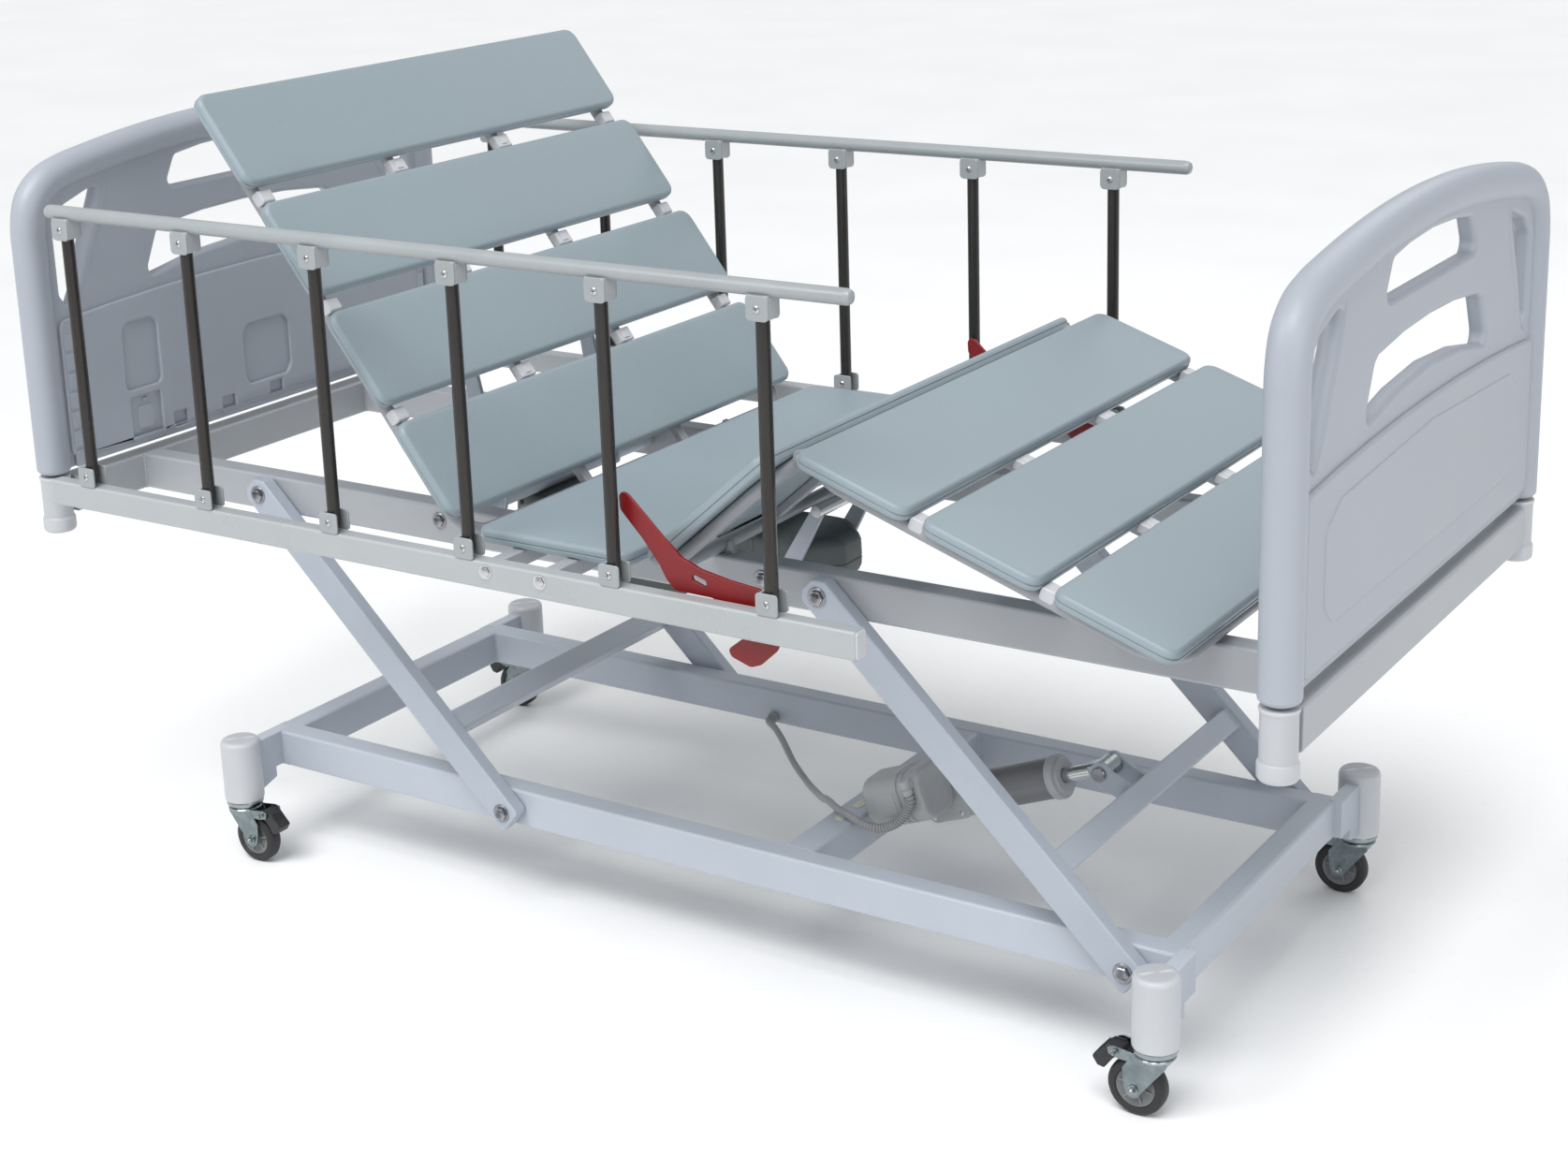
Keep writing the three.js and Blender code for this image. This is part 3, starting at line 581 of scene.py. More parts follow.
# castors
def castor(end, s):
    x = POST[end]
    tag = end + ("_right" if s < 0 else "_left")
    d = 1 if tag == "head_right" else -1
    place = Matrix.Translation((x, s * POST["y"], 0)) @ Matrix.Rotation(0 if d > 0 else math.pi, 4, "Z")
    axle, r = CASTOR.trail, CASTOR.r
    fork = Piece(place)
    fork.turned("z", (0, 0, 0), [(24, 88), (27, 89.5), (28, 92), (26.5, 94), (23, 95), (23, 96.5), (29, 97),
            (30, 99), (30, 103), (29, 104.6)], 40)
    crown = [(-23, 84), (-20, 93), (24, 93), (axle + 16, 70), (axle + 14, 46), (axle + 10, 32), (axle + 3, 28),
            (axle - 6, 30), (axle - 14, 42), (-18, 78)]
    for k in BOTH:
        fork.plate(soften(crown, 6), "XZ", side_y(k, 14.6, 17.6), 0.7)
        fork.bolt("y", (axle, 17.6 * k, r), k, 5.2, 7)
    fork.plate(rounded_rect(48, 34, 8), "XY", (86, 90), 1)
    fork.turned("y", (axle, 0, r), [(4, -20), (4, 20)], 20)
    # The brake's bracket: two folded ears that stand beside the pedal, with a spring tab.
    for k in BOTH:
        ear = [(20, 80), (22, 93), (52, 97), (62, 94), (60, 84), (44, 80)]
        fork.plate(soften(ear, 4), "XZ", side_y(k, 15, 17), 0.5)
        fork.bolt("y", (50, 17 * k, 89), k, 3, 4.2)
    fork.bar((20, -17, 94), (20, 17, 94), 7, 1.6, 0.6, ease=0.3)
    fork.done(f"castor_{tag}_fork", f"castor_swivel_{tag}", "zinc", "zinc", (f"castor_fork_{tag}",))

    tyre = Piece(place)
    w = CASTOR.half
    tyre.hollow("y", (axle, 0, r), [(27.5, -w + 2), (29, -w), (35, -w), (38.6, -w + 2), (r - 0.4, -w + 5), (r, 0),
            (r - 0.4, w - 5), (38.6, w - 2), (35, w), (29, w), (27.5, w - 2)], 64)
    tyre.done(f"castor_{tag}_tyre", f"castor_wheel_{tag}", "tyre", "tyre_rubber", (f"castor_wheel_{tag}",))
    hub = Piece(place)
    hub.hollow("y", (axle, 0, r), [(4.6, -13.4), (9, -13.4), (10.5, -12), (11, -7), (20, -6.8), (26, -9),
            (27.4, -9.8), (27.6, 0), (27.4, 9.8), (26, 9), (20, 6.8), (11, 7), (10.5, 12), (9, 13.4), (4.6, 13.4)],
            48)
    for i in range(6):
        t = math.radians(60 * i + 12)
        for k in BOTH:
            hub.bar((axle + 10 * math.cos(t), 7.2 * k, r + 10 * math.sin(t)),
                    (axle + 25 * math.cos(t), 8.2 * k, r + 25 * math.sin(t)), 3, 2.4, 0.8, up=(0, 1, 0), ease=0.4)
    hub.done(f"castor_{tag}_hub", f"castor_wheel_{tag}", "hub", "black_plastic")

    pedal = Piece(place)
    shape = [(14, 84), (44, 84), (60, 72), (68, 58), (78, 60), (86, 72), (74, 84), (66, 93), (44, 93), (40, 87),
            (14, 87)]
    pedal.plate(soften(shape, 4), "XZ", (-13, 13), 2.2, steps=3)
    for i in range(6):
        px, pz = 69.5 + 2.6 * i, 90.4 - 3.1 * i
        pedal.bar((px, -11, pz), (px, 11, pz), 1.6, 1.8, 0.6, ease=0.3)
    for y in BOTH:
        pedal.bar((46, 11.5 * y, 93), (64, 11.5 * y, 93), 2.4, 3.4, 0.8, ease=0.4)
    pedal.done(f"castor_{tag}_pedal", f"castor_brake_{tag}", "black", "black_plastic", (f"castor_brake_{tag}",))


# lift arms and height actuator
def arms(end):
    place = turned_at(PIVOT[end], PIVOT["z"], ARM.tilt)
    piece = Piece(place)
    h, length = ARM.half, ARM.length
    outline = [(-length - 12, -h), (23, -h), (19, h), (-length - 8, h), (-length - 24, 10), (-length - 24, -h + 12)]
    for s in BOTH:
        piece.plate(soften(outline, 9, 6), "XZ", side_y(s, ARM.inner, ARM.inner + ARM.thick), 3.2, steps=3)
    piece.bar((-ARM.cross, -ARM.inner - 1, 0), (-ARM.cross, ARM.inner + 1, 0), 36, 36, 4)
    if end == "foot":
        cx, cz = LIFT.clevis
        lug = [(cx - 16, cz - 8), (cx - 8, cz - 16), (cx + 8, cz - 16), (-150, -16), (-150, 16), (cx + 12, cz + 18),
                (cx - 8, cz + 16), (cx - 16, cz + 8)]
        for s in BOTH:
            piece.plate(soften(lug, 7), "XZ", side_y(s, 20, 27), 1)
    name = f"{end}_lift_arms"
    piece.done(f"{end}_arm_bars", f"{end}_arms", "base", "base_paint", (name,))
    welds = Piece(place)
    for s in BOTH:
        y = s * ARM.inner
        for a, b in (((-18, -16), (-18, 16)), ((18, -16), (18, 16)), ((-16, 18), (16, 18)),
                ((-16, -18), (16, -18))):
            welds.bead((-ARM.cross + a[0], y, a[1]), (-ARM.cross + b[0], y, b[1]), 2.2)
    welds.done(f"{end}_arm_welds", f"{end}_arms", "base", "base_paint")
    if end == "foot":
        pin = Piece(place)
        for s in BOTH:
            pin.turned("y", (cx, 0, cz), [(7.5, s * 20.5), (7.5, s * 31)], 20)
            pin.turned("y", (cx, 0, cz), [(11, s * 27), (11, s * 31.5), (9.5, s * 33)], 24)
        pin.done("clevis_pin", "foot_arms", "bolt", "post_steel")


def eye_at():
    t = math.radians(ARM.tilt)
    cx, cz = LIFT.clevis
    return PIVOT["foot"] + cx * math.cos(t) + cz * math.sin(t), PIVOT["z"] - cx * math.sin(t) + cz * math.cos(t)


EYE = eye_at()
REACH = math.hypot(EYE[0] - LIFT.x, EYE[1] - LIFT.z)
RISE = math.degrees(math.atan2(EYE[1] - LIFT.z, EYE[0] - LIFT.x))
ACTUATOR = turned_at(LIFT.x, LIFT.z, -RISE)


def actuator():
    case = Piece(ACTUATOR)
    case.turned("y", (0, 0, 0), [(14, -19.5), (15, -18.5), (15, 18.5), (14, 19.5)], 32)
    case.bar((6, 0, 0), (40, 0, 0), 30, 24, 5)
    gearbox = [(38, -20), (46, -28), (106, -28), (116, -20), (116, 40), (102, 64), (56, 68), (38, 54)]
    case.plate(soften(gearbox, 10), "XZ", (-40, 32), 7, steps=4)
    # The motor: a squared drum whose end steps in to a round cap.
    rings = []
    for x, inset, corner in ((-16, 21, 22), (-15.2, 17.5, 24), (-12, 14.6, 25), (-8, 13.6, 25), (-6, 13.4, 25),
            (-6, 6, 27), (-4.6, 2.4, 27), (-1, 0.5, 26), (4, 0, 26), (58, 0, 26), (59, 1.4, 25), (62, 1.4, 25),
            (63, 0, 26), (68, 0, 26), (69, 1.4, 25), (72, 1.4, 25), (73, 0, 26), (92, 0, 26), (98, 3, 25),
            (100, 8, 24)):
        section = rounded_rect(86 - 2 * inset, 80 - 2 * inset, corner, 8)
        rings.append([Vector((x, -81 + a, 38 + b)) for a, b in section])
    case.loft(rings)
    case.turned("x", (0, -81, 38), [(0, -17.4), (12, -17.2), (13, -16.4), (13.4, -15)], 40)
    rim = [(33, 104), (35.4, 105), (35.8, 108), (35.8, 114), (34.8, 116), (31.4, 117), (31.4, 121), (34.4, 122),
            (35.2, 124), (35.2, 131), (34.4, 133), (31.2, 134)]
    case.turned("x", (0, 0, 0), [(30, 103), *rim, (30, 136)], 56)
    for t in (40, 130, 220, 310):
        y, z = 37 * math.cos(math.radians(t)), 37 * math.sin(math.radians(t))
        case.turned("x", (0, y * 0.95, z * 0.95), [(5, 103), (5, 114.6), (4.4, 115.4)], 20)
    case.turned("z", (ENTRY[0], ENTRY[1], 0), [(8.6, 72), (8.6, 61), (8, 60), (8, 58.6), (8.6, 58), (8.2, 55.8)],
            28)
    case.bar((ENTRY[0], -132, 63.5), (ENTRY[0], -112, 63.5), 17, 13, 3)
    case.bar((16, -124, 38), (50, -124, 38), 1.6, 34, 0.7, ease=0.4)
    case.hollow("z", (ENTRY[0], ENTRY[1], 0), [(6.2, 49), (7.4, 49.3), (7.8, 50.4), (7.8, 57), (6.2, 57)], 28)
    case.done("actuator_case", "actuator_body", "motor", "motor_plastic", ("height_actuator_body",))

    sleeve = Piece(ACTUATOR)
    sleeve.hollow("x", (0, 0, 0), [(14, 134), (31, 134), (31, 254), (14, 254)], 56)
    sleeve.done("actuator_sleeve", "actuator_body", "sleeve", "motor_plastic")
    collar = Piece(ACTUATOR)
    collar.hollow("x", (0, 0, 0), [(11.4, 252), (32.4, 252), (33.6, 253), (34, 255), (34, 262.6), (33.2, 265),
            (30, 266), (28.6, 267), (28, 270), (26.6, 271), (16, 271), (11.4, 269)], 56)
    collar.done("actuator_collar", "actuator_body", "motor", "motor_plastic")
    screws = Piece(ACTUATOR)
    for x, z in ((50, -18), (100, -18), (104, 42), (52, 54)):
        screws.screw("y", (x, -40, z), -1, 3.6)
        screws.screw("y", (x, 32, z), 1, 3.6)
    screws.done("actuator_screws", "actuator_body", "bright", "post_steel")

    rod = Piece(ACTUATOR)
    rod.turned("x", (0, 0, 0), [(10.8, 166), (10.8, REACH - 22), (9.6, REACH - 16)], 36)
    rod.done("actuator_piston", "actuator_rod", "bright", "rod_steel", ("height_actuator_rod",))
    eye = Piece(ACTUATOR)
    eye.hollow("y", (REACH, 0, 0), [(9, -19), (15, -19), (16, -18), (16, 18), (15, 19), (9, 19)], 36)
    eye.bar((REACH - 26, 0, 0), (REACH - 13, 0, 0), 26, 24, 5)
    eye.done("actuator_eye", "actuator_rod", "zinc", "rod_steel")


# cable
ENTRY = (84, -132, 50)
HANG = [(-139, 231, 147), (-133, 225, 146), (-116, 216, 142), (-91, 199, 132), (-44, 160, 115), (12, 113, 110),
        (76, 44, 130), (140, -38, 166), (168, -80, 190), (196, -112, 203), (226, -135, 206), (252, -144, 204),
        (276, -146, 197), (302, -142, 195), (326, -136, 206), (340, -133, 222)]


def cable():
    ends = [ACTUATOR @ Vector((ENTRY[0], ENTRY[1], ENTRY[2] - 10.3)),
            ACTUATOR @ Vector((ENTRY[0], ENTRY[1], ENTRY[2] - 0.3))]
    points = [Vector((-139, 237.7, 147)), *(Vector(p) for p in HANG), *ends]
    path = spline(points, 6)
    cord = Piece()
    cord.sweep(path, 5.6, 18)
    cord = cord.done("actuator_cord", "base", "cable", "cable_rubber", ("actuator_cable",), angle=60)
    ribs = Piece()
    run = 0.0
    marks = []
    for a, b in zip(path[::-1], path[-2::-1]):
        step = (b - a).length
        while len(marks) * 4.8 < min(run + step, 150):
            marks.append(a.lerp(b, (len(marks) * 4.8 - run) / step))
        run += step
    for i, p in enumerate(marks[1:-1], 1):
        t = (marks[i + 1] - marks[i - 1]).normalized()
        u = t.orthogonal().normalized()
        v = t.cross(u)
        grow = 1.0 if i < 18 else 1.0 - 0.018 * (i - 17)
        rings = [[p + t * d + (u * math.cos(a) + v * math.sin(a)) * r * grow 
                for a in (2 * math.pi * k / 16 for k in range(16))] for d,
                r in ((-1.6, 5.4), (-1.4, 6.9), (-0.8, 7.6), (0.8, 7.6), (1.4, 6.9), (1.6, 5.4))]
        ribs.loft(rings)
    ribs = ribs.done("actuator_cord_relief", "base", "cable", "cable_rubber")


# upper frame
def upper_frame():
    rails = Piece()
    z = (RAIL.low + RAIL.high) / 2
    tall = RAIL.high - RAIL.low
    for s in BOTH:
        rails.bar((-RAIL.end, s * RAIL.y, z), (RAIL.end, s * RAIL.y, z), 40, tall - 0.6, 5)
        rails.bar((s * RAIL.end, -439, z), (s * RAIL.end, 439, z), 40, tall, 5)
        for x in (BACK.x, THIGH.x):
            cradle = [(x - 24, 637), (x + 24, 637), (x + 17, 657), (x + 11.4, 657), (x + 9, 645), (x, 640.5),
                    (x - 9, 645), (x - 11.4, 657), (x - 17, 657)]
            rails.plate(soften(cradle, 3), "XZ", (s * RAIL.y - 5, s * RAIL.y + 5), 0.8)
    reach = GUARD.y - 12.8
    for x in OUTRIGGERS:
        rails.bar((x, -reach, 648), (x, reach, 648), 22, 24, 3)
        rails.bar((x, -RAIL.y + 18, 607), (x, RAIL.y - 18, 607), 30, 20, 3)
    rails.done("deck_rails", "upper_frame", "frame", "frame_paint", ("upper_frame",))

    welds = Piece()
    for s in BOTH:
        for x, d in ((-RAIL.end + 20, 1), (RAIL.end - 20, -1)):
            for y in (RAIL.y - 20, RAIL.y + 20):
                welds.bead((x, s * y, RAIL.low + 3), (x, s * y, RAIL.high - 3), 2.4)
        for x in OUTRIGGERS:
            for d in BOTH:
                welds.bead((x + 11 * d, s * (RAIL.y - 18), 641), (x + 11 * d, s * (RAIL.y + 18), 641), 2)
        for x in (BACK.x, THIGH.x):
            welds.bead((x - 20, s * (RAIL.y + 5), 641), (x + 20, s * (RAIL.y + 5), 641), 1.8)
    welds.done("deck_rail_welds", "upper_frame", "frame", "frame_paint")

    bolts = Piece()
    t = math.radians(ARM.tilt)
    for s in BOTH:
        for x in (PIVOT["head"], PIVOT["foot"]):
            px, pz = x - ARM.length * math.cos(t), PIVOT["z"] + ARM.length * math.sin(t)
            end = ARM.inner + ARM.thick
            bolts.turned("y", (px, 0, pz), [(7, s * (OUTER - 4)), (7, s * (end + 1))], 24)
            bolts.bolt("y", (px, s * end, pz), s, 11, 14.5)
        for x in (TORSION.back, 207):
            bolts.bolt("y", (x, s * OUTER, TORSION.z + 4), s, 9.5, 13)
    bolts.done("deck_pivot_bolts", "upper_frame", "bolt", "post_steel")

    for end, e in (("head", -1), ("foot", 1)):
        for s in BOTH:
            side = "right" if s < 0 else "left"
            socket = Piece()
            profile = [(19, 553), (23, 554), (25.4, 557), (26, 561), (26, 574), (25, 577), (23.6, 578.5),
                    (23.4, 582), (23.4, 636), (24, 640), (25, 642), (25, 645), (23, 645.8)]
            socket.turned("z", (e * BOARD.x, s * BOARD.y, 0), profile, 48)
            socket.done(f"socket_{end}_{side}", "upper_frame", "white", "white_plastic",
                    (f"corner_socket_{end}_{side}",))


# head and foot boards
UPPER = [(-166, 1071), (166, 1071), (173, 1082), (152, 1121), (90, 1129), (0, 1133), (-90, 1129), (-152, 1121),
        (-173, 1082)]
LOWER = [(-228, 932), (-120, 951), (0, 959), (120, 951), (228, 932), (233, 946), (208, 1000), (196, 1008),
        (100, 1018), (0, 1021), (-100, 1018), (-196, 1008), (-208, 1000), (-233, 946)]
SIDE = [(318, 1103), (396, 1077), (424, 1050), (424, 935), (414, 920), (404, 918), (392, 940)]


def mirror(points):
    return [(-a, b) for a, b in points][::-1]


def window(points, r=14):
    return soften(points, r, 6)


def arch(y, z_mid, z_side, half):
    return z_mid - (z_mid - z_side) * (y / half) ** 2


def board(name, x, inward):
    """inward is +1 or -1: the side that faces the mattress."""
    place = Matrix.Translation((x, 0, 0))
    low = BOARD.low
    half = [(BOARD.y, low + 12), (BOARD.y, 760), (BOARD.y, 900), (BOARD.y, 1010), (BOARD.y - 1, 1052), (452, 1092),
            (424, 1117), (385, 1130)]
    top = [(y, arch(y, BOARD.top, BOARD.shoulder, 340)) for y in (340, 230, 115, 0, -115, -230, -340)]
    spine = half + top + [(-a, b) for a, b in half][::-1]
    shell = Piece(place)
    shell.sweep(spline([(0, a, b) for a, b in spine], 5), BOARD.r, 28, ends=12)
    web = [(BOARD.y - 4, low + 6), (BOARD.y - 4, 1050), (450, 1090), (422, 1113), (385, 1126)]
    outline = web + [(y, z - 4) for y, z in top] + [(-a, b) for a, b in web][::-1]
    holes = [window(UPPER), window(LOWER), window(SIDE), window(mirror(SIDE))]
    shell.plate(outline[::-1], "YZ", (-13, 13), 8, holes, steps=5)
    for s in BOTH:
        strut = spline([(0, s * 322, 1118), (0, s * 316, 1098), (0, s * 332, 1052), (0, s * 356, 1000),
                (0, s * 378, 948), (0, s * 392, 912)], 6)
        radii = [9 + 6.5 * math.sin(math.pi * min(1, max(0, i / (len(strut) - 1)))) ** 0.5 
                for i in range(len(strut))]
        shell.sweep(strut, 14, 20, radii=radii, ends=8)
    shell.done(f"{name}_shell", name, "board", "board_plastic", (name,), angle=40)

    edge = 438
    lip = [(edge, 668)] + [(y, arch(y, 915, 896, edge)) for y in (edge, 330, 220, 110, 0, -110, -220, -330,
            -edge)] + [(-edge, 668)]
    panel = soften(lip, 18, 6)
    pockets = [[(-311, 751), (-234, 751), (-234, 853), (-246, 865), (-299, 865), (-311, 853)],
            [(-32, 700), (60, 700), (72, 716), (72, 792), (58, 806), (-28, 806), (-40, 792), (-40, 716)],
            [(-306, 664), (-240, 664), (-240, 738), (-306, 738)]]
    small = [[(c - 15, 668), (c + 15, 668), (c + 15, 692), (c - 15, 692)] for c in (-200, -86, 30, 146, 262)]
    skins = Piece(place)
    inner = (10, 19) if inward > 0 else (-19, -10)
    outer = (-19, -10) if inward > 0 else (10, 19)
    skins.plate(panel, "YZ", outer, 5, steps=4)
    skins.plate(panel, "YZ", inner, 4, [soften(p, 12, 5) for p in pockets[:2]] + [soften(pockets[2], 5,
            4)] + [soften(p, 4, 3) for p in small], steps=4)
    frame_line = [(-380, 742), (-380, 838), (-330, 868), (0, 884), (330, 868), (380, 838), (380, 742), (352, 716),
            (-352, 716)]
    crest = (17, 20.4) if inward < 0 else (-20.4, -17)
    skins.plate(soften(frame_line, 22, 6), "YZ", crest, 1.6, steps=3)
    skins.done(f"{name}_skins", name, "board", "board_plastic", angle=40)

    detail = Piece(place)
    k = 1 if inward > 0 else -1
    for s in BOTH:
        for i in range(7):
            z = 654 + 32 * i
            detail.plate(rect_at(s * 425, z + 13, 17, 27, 3), "YZ", (16, 21) if k > 0 else (-21, -16), 1.2)
    detail.plate(rect_at(-273, 700, 34, 40, 5), "YZ", (11, 15) if k > 0 else (-15, -11), 1.4)
    detail.plate(rect_at(-273, 730, 10, 6, 3), "YZ", (11, 16) if k > 0 else (-16, -11), 1)
    detail.done(f"{name}_inner_ribs", name, "board", "board_plastic")


# deck
def deck_loop(piece, x, r):
    path = [(a, b, 0) for a, b in [(x[0] + (x[1] - x[0]) / 2 + p, q) for p,
            q in rounded_rect(x[1] - x[0], 2 * DECK.y, r, 8)]]
    piece.sweep(path, DECK.tube, 20, closed=True)


def clip(piece, x, y):
    """A slat clip that hooks round the frame tube or a stringer in the gap between two slats."""
    piece.bar((x, y - 17, 12), (x, y + 17, 12), 24, 14, 3)
    piece.bar((x - 7, y, 16), (x + 7, y, 16), 15, 9, 2)


def section(name, body, place, loop, gaps, lugs=()):
    tubes = Piece(place)
    deck_loop(tubes, loop, 58)
    for s in BOTH:
        tubes.bar((loop[0] + 4, s * 130, 3), (loop[1] - 4, s * 130, 3), 18, 14, 2.5)
    for outline, y, hole in lugs:
        for s in BOTH:
            tubes.plate(soften(outline, 5), "XZ", side_y(s, *y), 0.8)
            if hole is not None:
                tubes.turned("y", (hole, 0, 0), [(5, s * 393), (5, s * 403)], 20)
    tubes.done(f"{name}_tubes", body, "frame", "frame_paint", (f"{name}_frame",))
    if not gaps:
        return
    clips = Piece(place)
    for x in gaps:
        for y in (-130, 130):
            clip(clips, x, y)
        for s in BOTH:
            clips.bar((x, s * (DECK.y - 16), 9), (x, s * (DECK.y + 10), 9), 22, 18, 4)
    clips.done(f"{name}_slat_clips", body, "white", "white_plastic")


def slat(name, body, place, x, z):
    piece = Piece(place)
    piece.slab(x, (-DECK.slat_y, DECK.slat_y), (z, z + DECK.slat), 20, 7)
    piece.done(name + "_shell", body, "slat", "slat_plastic", (name,), angle=28)


def deck():
    z = DECK.tube + 0.3
    back = turned_at(BACK.x, DECK.z, BACK.tilt)
    pitch = BACK.slat + BACK.gap
    starts = [-BACK.first - i * pitch for i in range(4)]
    section("backrest", "backrest", back, (-BACK.length, 0), [s + BACK.gap / 2 for s in starts[1:]])
    for i, start in enumerate(starts):
        slat(f"backrest_slat_{i + 1}", "backrest", back, (start - BACK.slat, start), z)

    slat("seat_slat", "upper_frame", Matrix.Identity(4), (-176, 92), RAIL.high + 20.7)

    thigh = turned_at(THIGH.x, DECK.z, -THIGH.tilt)
    knee_lug = [(262, -7), (293, -10), (302, -5), (302, 5), (293, 9), (262, 7)]
    section("thigh", "thigh", thigh, (0, 268), [], [(knee_lug, (388, 394), 290)])
    slat("thigh_slat", "thigh", thigh, (12, 275), z)

    k = math.radians(THIGH.tilt)
    calf = turned_at(THIGH.x + THIGH.knee * math.cos(k), DECK.z + THIGH.knee * math.sin(k), CALF.tilt)
    calf_lug = [(36, -7), (-3, -10), (-12, -4), (-12, 4), (-3, 9.5), (36, 7)]
    starts = [CALF.first + i * (CALF.slat + CALF.gap) for i in range(3)]
    section("calf", "calf", calf, (24, CALF.length), [s - CALF.gap / 2 for s in starts[1:]],
            [(calf_lug, (395, 401), None)])
    for i, start in enumerate(starts):
        slat(f"calf_slat_{i + 1}", "calf", calf, (start, start + CALF.slat), z)


def deck_drive():
    case = Piece()
    # Plan sections from the floor of the housing to its lid: the foot end narrows in plan, both ends ease in height.
    rings = []
    for z, inset, head, foot in ((520, 12, -238, 160), (521.5, 6, -260, 164), (526, 1.5, -404, 171),
            (532, 0, -412, 176), (540, 0, -419, 180), (552, 0, -420, 181), (553, 1.2, -419, 180),
            (555, 1.2, -419, 180), (556, 0, -420, 181), (580, 0, -419, 180), (588, 1, -411, 176),
            (593, 4, -404, 170), (596, 11, -396, 162)):
        w = 69.5 - inset
        plan = [(head, -w), (foot - 44, -w), (foot, -w * 0.36), (foot, w * 0.36), (foot - 44, w), (head, w)]
        rings.append([Vector((a, b, z)) for a, b in soften(plan, 14, 5)])
    case.loft(rings)
    hump = [(-235, 470), (-210, 458), (-120, 458), (-95, 470), (-80, 530), (-250, 530)]
    case.plate(soften(hump, 16, 6), "XZ", (-47, 47), 9, steps=4)
    for x in (-360, -300, -30, 40, 88):
        case.bar((x, -69.6, 530), (x, -69.6, 586), 5, 1.6, 0.7, up=(0, 1, 0), ease=0.4)
    case.done("deck_drive_case", "upper_frame", "drive", "drive_plastic", ("deck_drive",), angle=40)
    # The screw heads are drawn in the near-black recess colour: painted shade of the screw recesses in the case.
    screws = Piece()
    for s in BOTH:
        for x, z in ((-404, 582), (-404, 538), (-20, 584), (40, 538), (126, 584), (126, 538)):
            screws.screw("y", (x, 69.4 * s, z), s, 4)
    screws.done("deck_drive_screws", "upper_frame", "recess_shade", "drive_plastic")


def torsion_lever(name, body, at, tube, lever_y, length, wide, angle):
    place = turned_at(*at, -angle)
    piece = Piece(place)
    r, half = tube
    piece.turned("y", (0, 0, 0), [(r - 2, -half), (r, 1.5 - half), (r, half - 1.5), (r - 2, half)], 32)
    outline = [(-20, -12), (6, -wide), (length, -10), (length + 9, 0), (length, 10), (6, wide), (-20, 12)]
    for s in BOTH:
        piece.plate(soften(outline, 8), "XZ", side_y(s, lever_y, lever_y + 8), 1.2)
    piece.done(f"{name}_arms", body, "base", "base_paint", (name,))
    roller = Piece(place)
    end = lever_y + 11.5
    roller.turned("y", (length, 0, 0), [(8.5, -end), (10, 1.5 - end), (10, end - 1.5), (8.5, end)], 28)
    roller.done(f"{name}_roller", body, "bright", "base_paint")


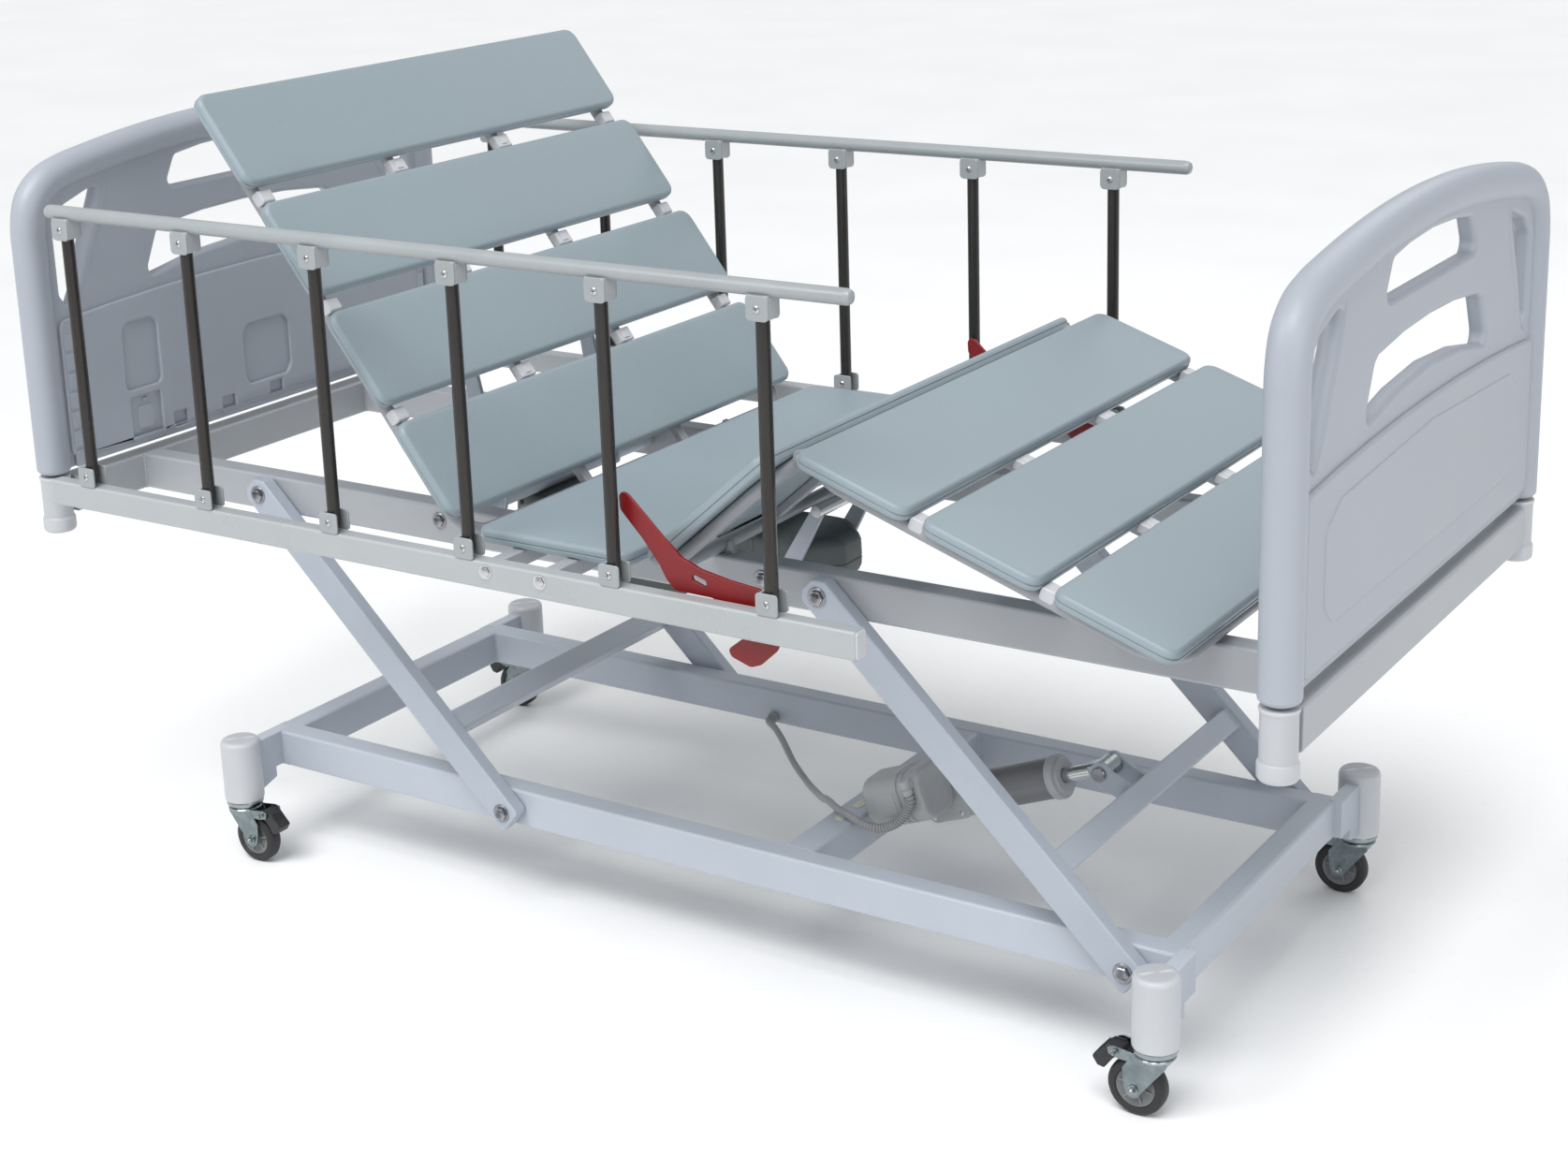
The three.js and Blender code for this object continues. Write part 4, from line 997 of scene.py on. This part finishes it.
# side guards
def guard(tag, s):
    place = Matrix.Translation((0, s * GUARD.y, 0)) @ Matrix.Diagonal((1, s, 1, 1))
    post_x = [GUARD.first + i * GUARD.pitch for i in range(GUARD.posts)]

    def bracket(piece, x, web, low, high, round_low):
        """Two cheeks with soft corners and a web on one side of the post."""
        w = 17
        corner = 8
        cheek = [(x - w, high), (x - w, low), (x + w, low), (x + w, high)]
        r = corner if round_low else 3
        face = soften(cheek, r, 5) if round_low else soften(cheek, 6, 5)
        for y in ((11, 14.5), (-14.5, -11)):
            piece.plate(face, "XZ", y, 1.1, steps=3)
        inner = x + web * 15.2
        piece.bar((inner, -12, (low + high) / 2), (inner, 12, (low + high) / 2), 3.6, high - low - 5, 1.2)

    rail = Piece(place)
    rail.bar((-985, 0.5, 642), (501, 0.5, 642), 26, 40, 4, ease=1.8)
    for x in post_x:
        bracket(rail, x, -1, 661, 692, False)
    rail.done(f"guard_{tag}_rail", "upper_frame", "guard", "guard_paint", (f"guard_rail_{tag}",))
    caps = Piece(place)
    for x, d in ((-985, -1), (501, 1)):
        caps.bar((x - 1.5 * d, 0.5, 642), (x + 1.4 * d, 0.5, 642), 23, 37, 4, ease=0.8)
    caps.done(f"guard_{tag}_rail_caps", "upper_frame", "white", "white_plastic")

    top = Piece(place)
    ends = [(0, -940.6), (5, -940), (8.6, -938), (10.4, -934.5), (11, -930), (11, 491), (10.4, 495), (8.6, 498.4),
            (5, 500.4), (0, 501)]
    top.turned("x", (0, 0, GUARD.tube), ends, 36)
    for x in post_x:
        bracket(top, x, 1, GUARD.high - 17, GUARD.tube - 7, True)
        top.plate([(x + a, b) for a, b in rounded_rect(34, 28, 4)], "XY", (GUARD.tube - 11, GUARD.tube - 7), 1)
    top.done(f"guard_{tag}_top", f"guard_top_{tag}", "guard", "guard_paint", (f"guard_top_{tag}",))

    length = GUARD.high - GUARD.low
    for i, x in enumerate(post_x):
        post = Piece(place)
        profile = [(0, -9), (4, -8.4), (7.4, -5.4), (9.2, -1), (9.5, 3), (9.5, length - 3), (9.2, length + 1),
                (7.4, length + 5.4), (4, length + 8.4), (0, length + 9)]
        post.turned("z", (x, 0, GUARD.low), profile, 32)
        post.done(f"guard_{tag}_post_{i + 1}", f"guard_post_{tag}_{i + 1}", "steel", "post_steel",
                (f"guard_post_{tag}_{i + 1}",))

    # The cross marks are near-black bars on the screw heads: painted shade of their cross recesses.
    low_screws, top_screws, low_shade_marks, top_shade_marks = Piece(place), Piece(place), Piece(place), Piece(place)
    for x in post_x:
        for v in BOTH:
            low_screws.screw("y", (x, 14.4 * v, 677), v, 5)
            top_screws.screw("y", (x, 14.4 * v, 1069), v, 5)
            cross(low_shade_marks, "y", (x, 14.4 * v, 677), v)
            cross(top_shade_marks, "y", (x, 14.4 * v, 1069), v)
    for x in OUTRIGGERS:
        low_screws.bolt("y", (x, 13.4, 648), 0.55, 8.5, 11)
    low_screws.turned("y", (LATCH[0], 0, LATCH[1]), [(5, -25), (5, -10)], 20)
    low_screws.turned("y", (LATCH[0], 0, LATCH[1]), [(6, -28), (8.6, -27.4), (9, -25.6), (9, -24.6)], 24)
    low_screws.done(f"guard_{tag}_low_screws", "upper_frame", "bright", "post_steel")
    top_screws.done(f"guard_{tag}_top_screws", f"guard_top_{tag}", "bright", "post_steel")
    low_shade_marks.done(f"guard_{tag}_low_recess_shade", "upper_frame", "recess_shade", "post_steel")
    top_shade_marks.done(f"guard_{tag}_top_recess_shade", f"guard_top_{tag}", "recess_shade", "post_steel")

    shape = [(114, 762), (113, 781), (118, 787), (127, 785), (185, 731), (212, 708), (243, 696), (288, 688),
            (336, 683), (371, 656), (371, 623), (359, 600), (334, 577), (318, 571), (287, 581), (283, 591),
            (312, 614), (306, 636), (289, 651), (259, 659), (199, 660), (186, 674), (176, 692), (149, 726)]
    latch = Piece(place)
    slot = [(240 + a * 0.94 + b * 0.3, 680 - a * 0.3 + b * 0.94) for a, b in rounded_rect(24, 9, 4.5, 5)]
    latch.plate(soften(shape, 12, 5), "XZ", (-23.8, -18.2), 1.1, [slot], steps=3)
    latch.done(f"guard_{tag}_latch_blade", f"guard_latch_{tag}", "red", "red_paint", (f"guard_latch_{tag}",))


# everything
base_frame()
cable()
for end_name in ("head", "foot"):
    for side_sign in BOTH:
        castor(end_name, side_sign)
    arms(end_name)
actuator()
upper_frame()
board("headboard", -BOARD.x, 1)
board("footboard", BOARD.x, -1)
deck()
deck_drive()
torsion_lever("backrest_lift_lever", "backrest_lever", (TORSION.back, TORSION.z), (15, 251), 146, 280, 21, 101)
torsion_lever("knee_lift_lever", "knee_lever", (KNEE_LEVER.x, KNEE_LEVER.z), (12, 84), 74, KNEE_LEVER.length, 14,
              KNEE_LEVER.angle)
guard("right", -1)
guard("left", 1)

floor_mesh = bpy.data.meshes.new("floor")
floor_mesh.from_pydata([(-30, -30, 0), (30, -30, 0), (30, 30, 0), (-30, 30, 0)], [], [(0, 1, 2, 3)])
floor_mesh.materials.append(finish("floor_vinyl", (0.93, 0.93, 0.93), 0.6, mottle=0.01, mottle_scale=1.5,
        grain=0.05, grain_scale=80))
floor = bpy.data.objects.new("floor", floor_mesh)
bpy.context.scene.collection.objects.link(floor)
